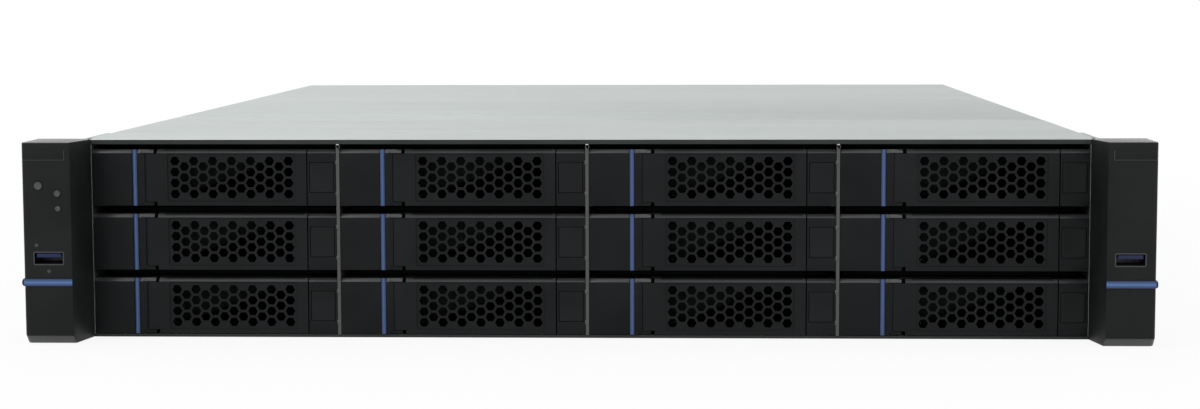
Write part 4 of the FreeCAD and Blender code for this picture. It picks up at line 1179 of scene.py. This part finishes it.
def usb_tongues():
    """Blue tongues of the four rear USB ports, with their gilt contacts."""
    tongues = []
    contacts = []
    for x, z in itertools.product(USB_PORTS_X, USB_PORTS_Z):
        under = z + 2.9 * MM
        tongue = block("rear_usb_tongues", (x - 5.6 * MM, REAR_Y - 13.5 * MM, under),
                       (x + 5.6 * MM, REAR_Y - 2.6 * MM, z + 4.7 * MM))
        tongues.append(soften(tongue, 0.3 * MM, 2))
        contacts += [block("rear_usb_contacts",
                           (x + (offset - 0.5) * MM, REAR_Y - 10 * MM, z + 2.75 * MM),
                           (x + (offset + 0.5) * MM, REAR_Y - 3.2 * MM, under))
                     for offset in (-3.5, -1.2, 1.2, 3.5)]
    fit(join(tongues), PORT_BLUE, "chassis", "accent_plastic")
    fit(soften(join(contacts), 0.03 * MM, 1), GILT, "chassis", "psu_metal")


def network_contacts():
    """Eight sloping gilt contacts and two lamp windows in each network port."""
    wires = []
    lamps = []
    for x in NETWORK_PORTS_X:
        for index in range(8):
            wire_x = x + (index - 3.5) * 1.02 * MM
            wire = block("network_contacts", (wire_x - 0.22 * MM, REAR_Y - 9 * MM, 18.9 * MM),
                         (wire_x + 0.22 * MM, REAR_Y - 3 * MM, 19.2 * MM))
            with editing(wire) as mesh:
                pick(mesh, mesh.faces, facing("y", -1))
                bpy.ops.transform.translate(value=(0, 0, -2.4 * MM))
            wires.append(wire)
        for side in (-1, 1):
            lamp_x = x + side * 4.2 * MM
            window = block("network_lamps", (lamp_x - 1.2 * MM, REAR_Y - 2.1 * MM, 20.5 * MM),
                           (lamp_x + 1.2 * MM, REAR_Y - 0.9 * MM, 22.0 * MM))
            lamps.append(soften(window, 0.2 * MM, 2))
    fit(join(wires), GILT, "chassis", "psu_metal")
    fit(join(lamps), LENS_GREY, "chassis", "button_plastic")


def screen_contacts():
    """Fifteen contact holes in the insulator of the screen port."""
    dots = []
    for row in range(3):
        for index in range(5):
            x = SCREEN_X + (index - 2 + (row - 1) * 0.25) * 2.3 * MM
            z = SCREEN_Z + (row - 1) * 1.9 * MM
            dots.append(drum("screen_contacts", (x, REAR_Y + 0.75 * MM, z),
                             0.5 * MM, 0.15 * MM, "Y", 14))
    fit(join(dots), DARK_PLASTIC, "chassis", "dark_plastic")


def side_fittings():
    """Rail studs and flush rivets on the right wall, and their twins on the left."""
    wall = CHASSIS_HIGH.x
    studs = []
    for y in STUDS_Y:
        neck = drum("rail_studs", (wall, y, STUD_Z), 2.4 * MM, STUD_NECK, "X", 28)
        head = drum("head", (wall + STUD_NECK, y, STUD_Z), 4.2 * MM, 1.4 * MM, "X", 32)
        bevel(head, lambda edge: reach(edge, "x") < LEVEL, 0.4 * MM, 3)
        studs += [smooth(neck), smooth(head)]
    rivets = []
    for y, z in itertools.product(RIVETS_Y, RIVETS_Z):
        rivet = drum("wall_rivets", (wall, y, z), 2.3 * MM, 0.5 * MM, "X", 24)
        bevel(rivet, within(lambda at: at.x > wall + NEAR), 0.35 * MM, 3)
        rivets.append(smooth(rivet, 60))
    for piece in (join(studs), join(rivets)):
        fit(mirrored(piece, piece.name + "_left"), ZINC, "chassis", "galvanised")
        fit(piece, ZINC, "chassis", "galvanised")


# ------------------------------------------------------------------ inside

# Places on the board, in mm.
CHOKES_X = (-58, -44, -30, -16, -2, 12, 95, 109, 123, 137, 151, 165)
CHIPS = ((92, 232, 24, 2.2), (62, 205, 15, 1.6), (62, 232, 14, 1.6), (128, 232, 15, 1.6),
         (178, 158, 14, 1.6), (100, 262, 11, 1.4))      # x, y, side and height
CAN_H = 8.5


def chokes():
    """Row of moulded power chokes between the fans and the processors."""
    cores = []
    for x in CHOKES_X:
        core = block("power_chokes", (x * MM, -24 * MM, BOARD_TOP),
                     ((x + 9) * MM, -15 * MM, BOARD_TOP + 6.5 * MM))
        cores.append(soften(core, 1.0 * MM, 3))
    fit(join(cores), CORE_GREY, "chassis", "dark_plastic")


def capacitors():
    """Aluminium can capacitors with a rounded rim."""
    cans = []
    places = [(x, -32) for x in range(-80, 200, 14)]
    places += [(60 + 11 * index, 128) for index in range(12)]
    for x, y in places:
        can = drum("capacitors", (x * MM, y * MM, BOARD_TOP), 3.2 * MM, CAN_H * MM, "Z", 24)
        bevel(can, within(lambda at: at.z > BOARD_TOP + 8 * MM), 0.5 * MM, 3)
        cans.append(smooth(can, 50))
    fit(join(cans), CAN_METAL, "chassis", "sink")


def chips():
    """Flat packages with a step round the lid."""
    cases = []
    for x, y, side, height in CHIPS:
        case = block("chip_packages", (x * MM, y * MM, BOARD_TOP),
                     ((x + side) * MM, (y + side) * MM, BOARD_TOP + height * MM))
        press(case, facing("z"), 1.2 * MM, (0, 0, 0.4 * MM))
        cases.append(soften(case, 0.15 * MM, 1))
    fit(join(cases), CHIP_BLACK, "chassis", "dark_plastic")


def chipset_sink():
    """Small finned block over the chipset."""
    low = Vector((140 * MM, 160 * MM, BOARD_TOP))
    piece = block("chipset_sink", low, low + Vector((34 * MM, 34 * MM, 14 * MM)))
    for index in range(8):
        x = low.x + (2.2 + 4.1 * index) * MM
        cut(piece, block("gap", (x, low.y - 1 * MM, low.z + 4 * MM),
                         (x + 2.2 * MM, low.y + 36 * MM, low.z + 16 * MM)))
    fit(soften(piece, 0.2 * MM, 1), SINK_METAL, "chassis", "sink")


def coin_cell():
    """Clock battery in its holder."""
    x, y = 88 * MM, 178 * MM
    holder_h = 2.4 * MM
    holder = drum("cell_holder", (x, y, BOARD_TOP), 12 * MM, holder_h, "Z", 36)
    fit(soften(holder, 0.3 * MM, 2), DARK_PLASTIC, "chassis", "dark_plastic")
    cell = drum("coin_cell", (x, y, BOARD_TOP + holder_h), 10 * MM, 1.6 * MM, "Z", 40)
    fit(soften(cell, 0.4 * MM, 3), NICKEL, "chassis", "psu_metal")


def inside():
    """Small parts of the main board."""
    chokes()
    capacitors()
    chips()
    chipset_sink()
    coin_cell()


# ------------------------------------------------------------------ stage, light and camera

LAMPS = (("key", (-1.4, -1.2, 1.5), (-0.1, 0, 0.05), (2.8, 2.2), 19),
         ("fill", (1.6, -1.4, 1.2), (0, 0, 0.05), (2.6, 1.8), 13),
         ("top", (-0.8, 0.7, 1.9), (-0.1, 0, 0.05), (2.6, 2.4), 15))
LENS_MM = 69.0
CAMERA_AT = (0.0445, FACE_Y - 0.9939, 0.1492)
CAMERA_YAW, CAMERA_DIP, CAMERA_ROLL = 2.24, 5.21, 0.16      # degrees


def stage():
    """White floor that keeps a soft shadow close to the part."""
    deselect()
    bpy.ops.mesh.primitive_plane_add(size=8.0, location=(0, 0, 0))
    floor = bpy.context.object
    floor.name = "floor"
    material, tree, shader, place = fresh("pale_studio_floor")
    shader.inputs["Base Color"].default_value = colour("#f2f2f2")
    shader.inputs["Roughness"].default_value = 0.8
    ray = node(tree, "ShaderNodeLightPath")
    white = node(tree, "ShaderNodeEmission", {"Color": colour("#ffffff"), "Strength": 1.0})
    away = node(tree, "ShaderNodeVectorMath", {0: place}, operation="LENGTH")
    cover = node(tree, "ShaderNodeMapRange", {"Value": away.outputs["Value"], "From Min": 0.35,
                                              "From Max": 0.9, "To Min": 0.88, "To Max": 1.0})
    seen = node(tree, "ShaderNodeMath",
                {0: ray.outputs["Is Camera Ray"], 1: ray.outputs["Is Glossy Ray"]},
                operation="MAXIMUM")
    share = node(tree, "ShaderNodeMath", {0: seen.outputs[0], 1: cover.outputs["Result"]},
                 operation="MULTIPLY")
    mixed = node(tree, "ShaderNodeMixShader", {"Fac": share.outputs[0], 1: shader.outputs[0],
                                               2: white.outputs[0]})
    output = next(made for made in tree.nodes if made.type == "OUTPUT_MATERIAL")
    tree.links.new(mixed.outputs[0], output.inputs["Surface"])
    floor.data.materials.append(material)


def world():
    """White to the camera and in reflections, a dimmer sky for the light."""
    made = bpy.data.worlds.new("studio")
    bpy.context.scene.world = made
    made.use_nodes = True
    tree = made.node_tree
    tree.nodes.clear()
    ray = node(tree, "ShaderNodeLightPath")
    seen = node(tree, "ShaderNodeMath",
                {0: ray.outputs["Is Camera Ray"], 1: ray.outputs["Is Glossy Ray"]},
                operation="MAXIMUM")
    both = node(tree, "ShaderNodeMath", {0: seen.outputs[0], 1: ray.outputs["Is Transmission Ray"]},
                operation="MAXIMUM")
    plain = node(tree, "ShaderNodeBackground", {"Color": colour("#ffffff"), "Strength": 1.0})
    dim = node(tree, "ShaderNodeBackground", {"Color": colour("#f4f6f8"), "Strength": 0.6})
    mix = node(tree, "ShaderNodeMixShader",
               {"Fac": both.outputs[0], 1: dim.outputs[0], 2: plain.outputs[0]})
    node(tree, "ShaderNodeOutputWorld", {"Surface": mix.outputs[0]})


def lamp(name, place, aim, size, power):
    """Rectangular lamp that looks at a point."""
    light = bpy.data.lights.new(name, "AREA")
    light.shape = "RECTANGLE"
    light.size, light.size_y = size
    light.energy = power
    made = bpy.data.objects.new(name, light)
    bpy.context.scene.collection.objects.link(made)
    made.location = place
    made.rotation_euler = (Vector(aim) - Vector(place)).to_track_quat("-Z", "Y").to_euler()


def camera():
    """Long lens a little right of the middle, above the part and looking slightly down."""
    lens = bpy.data.cameras.new("camera")
    lens.sensor_width = 36.0
    lens.lens = LENS_MM
    lens.clip_end = 50.0
    made = bpy.data.objects.new("camera", lens)
    bpy.context.scene.collection.objects.link(made)
    turn = (Matrix.Rotation(math.radians(CAMERA_YAW), 4, "Z")
            @ Matrix.Rotation(math.radians(-CAMERA_DIP), 4, "X")
            @ Matrix.Rotation(math.radians(CAMERA_ROLL), 4, "Y")
            @ Matrix.Rotation(math.radians(90), 4, "X"))
    made.matrix_world = Matrix.Translation(CAMERA_AT) @ turn
    bpy.context.scene.camera = made


camera()
trays()
header()
dividers()
ears()
covers()
supplies()
rear_screws()
usb_tongues()
network_contacts()
screen_contacts()
side_fittings()
inside()
chassis_skin()
stage()
world()
for values in LAMPS:
    lamp(*values)
bpy.context.scene.view_settings.view_transform = "Standard"
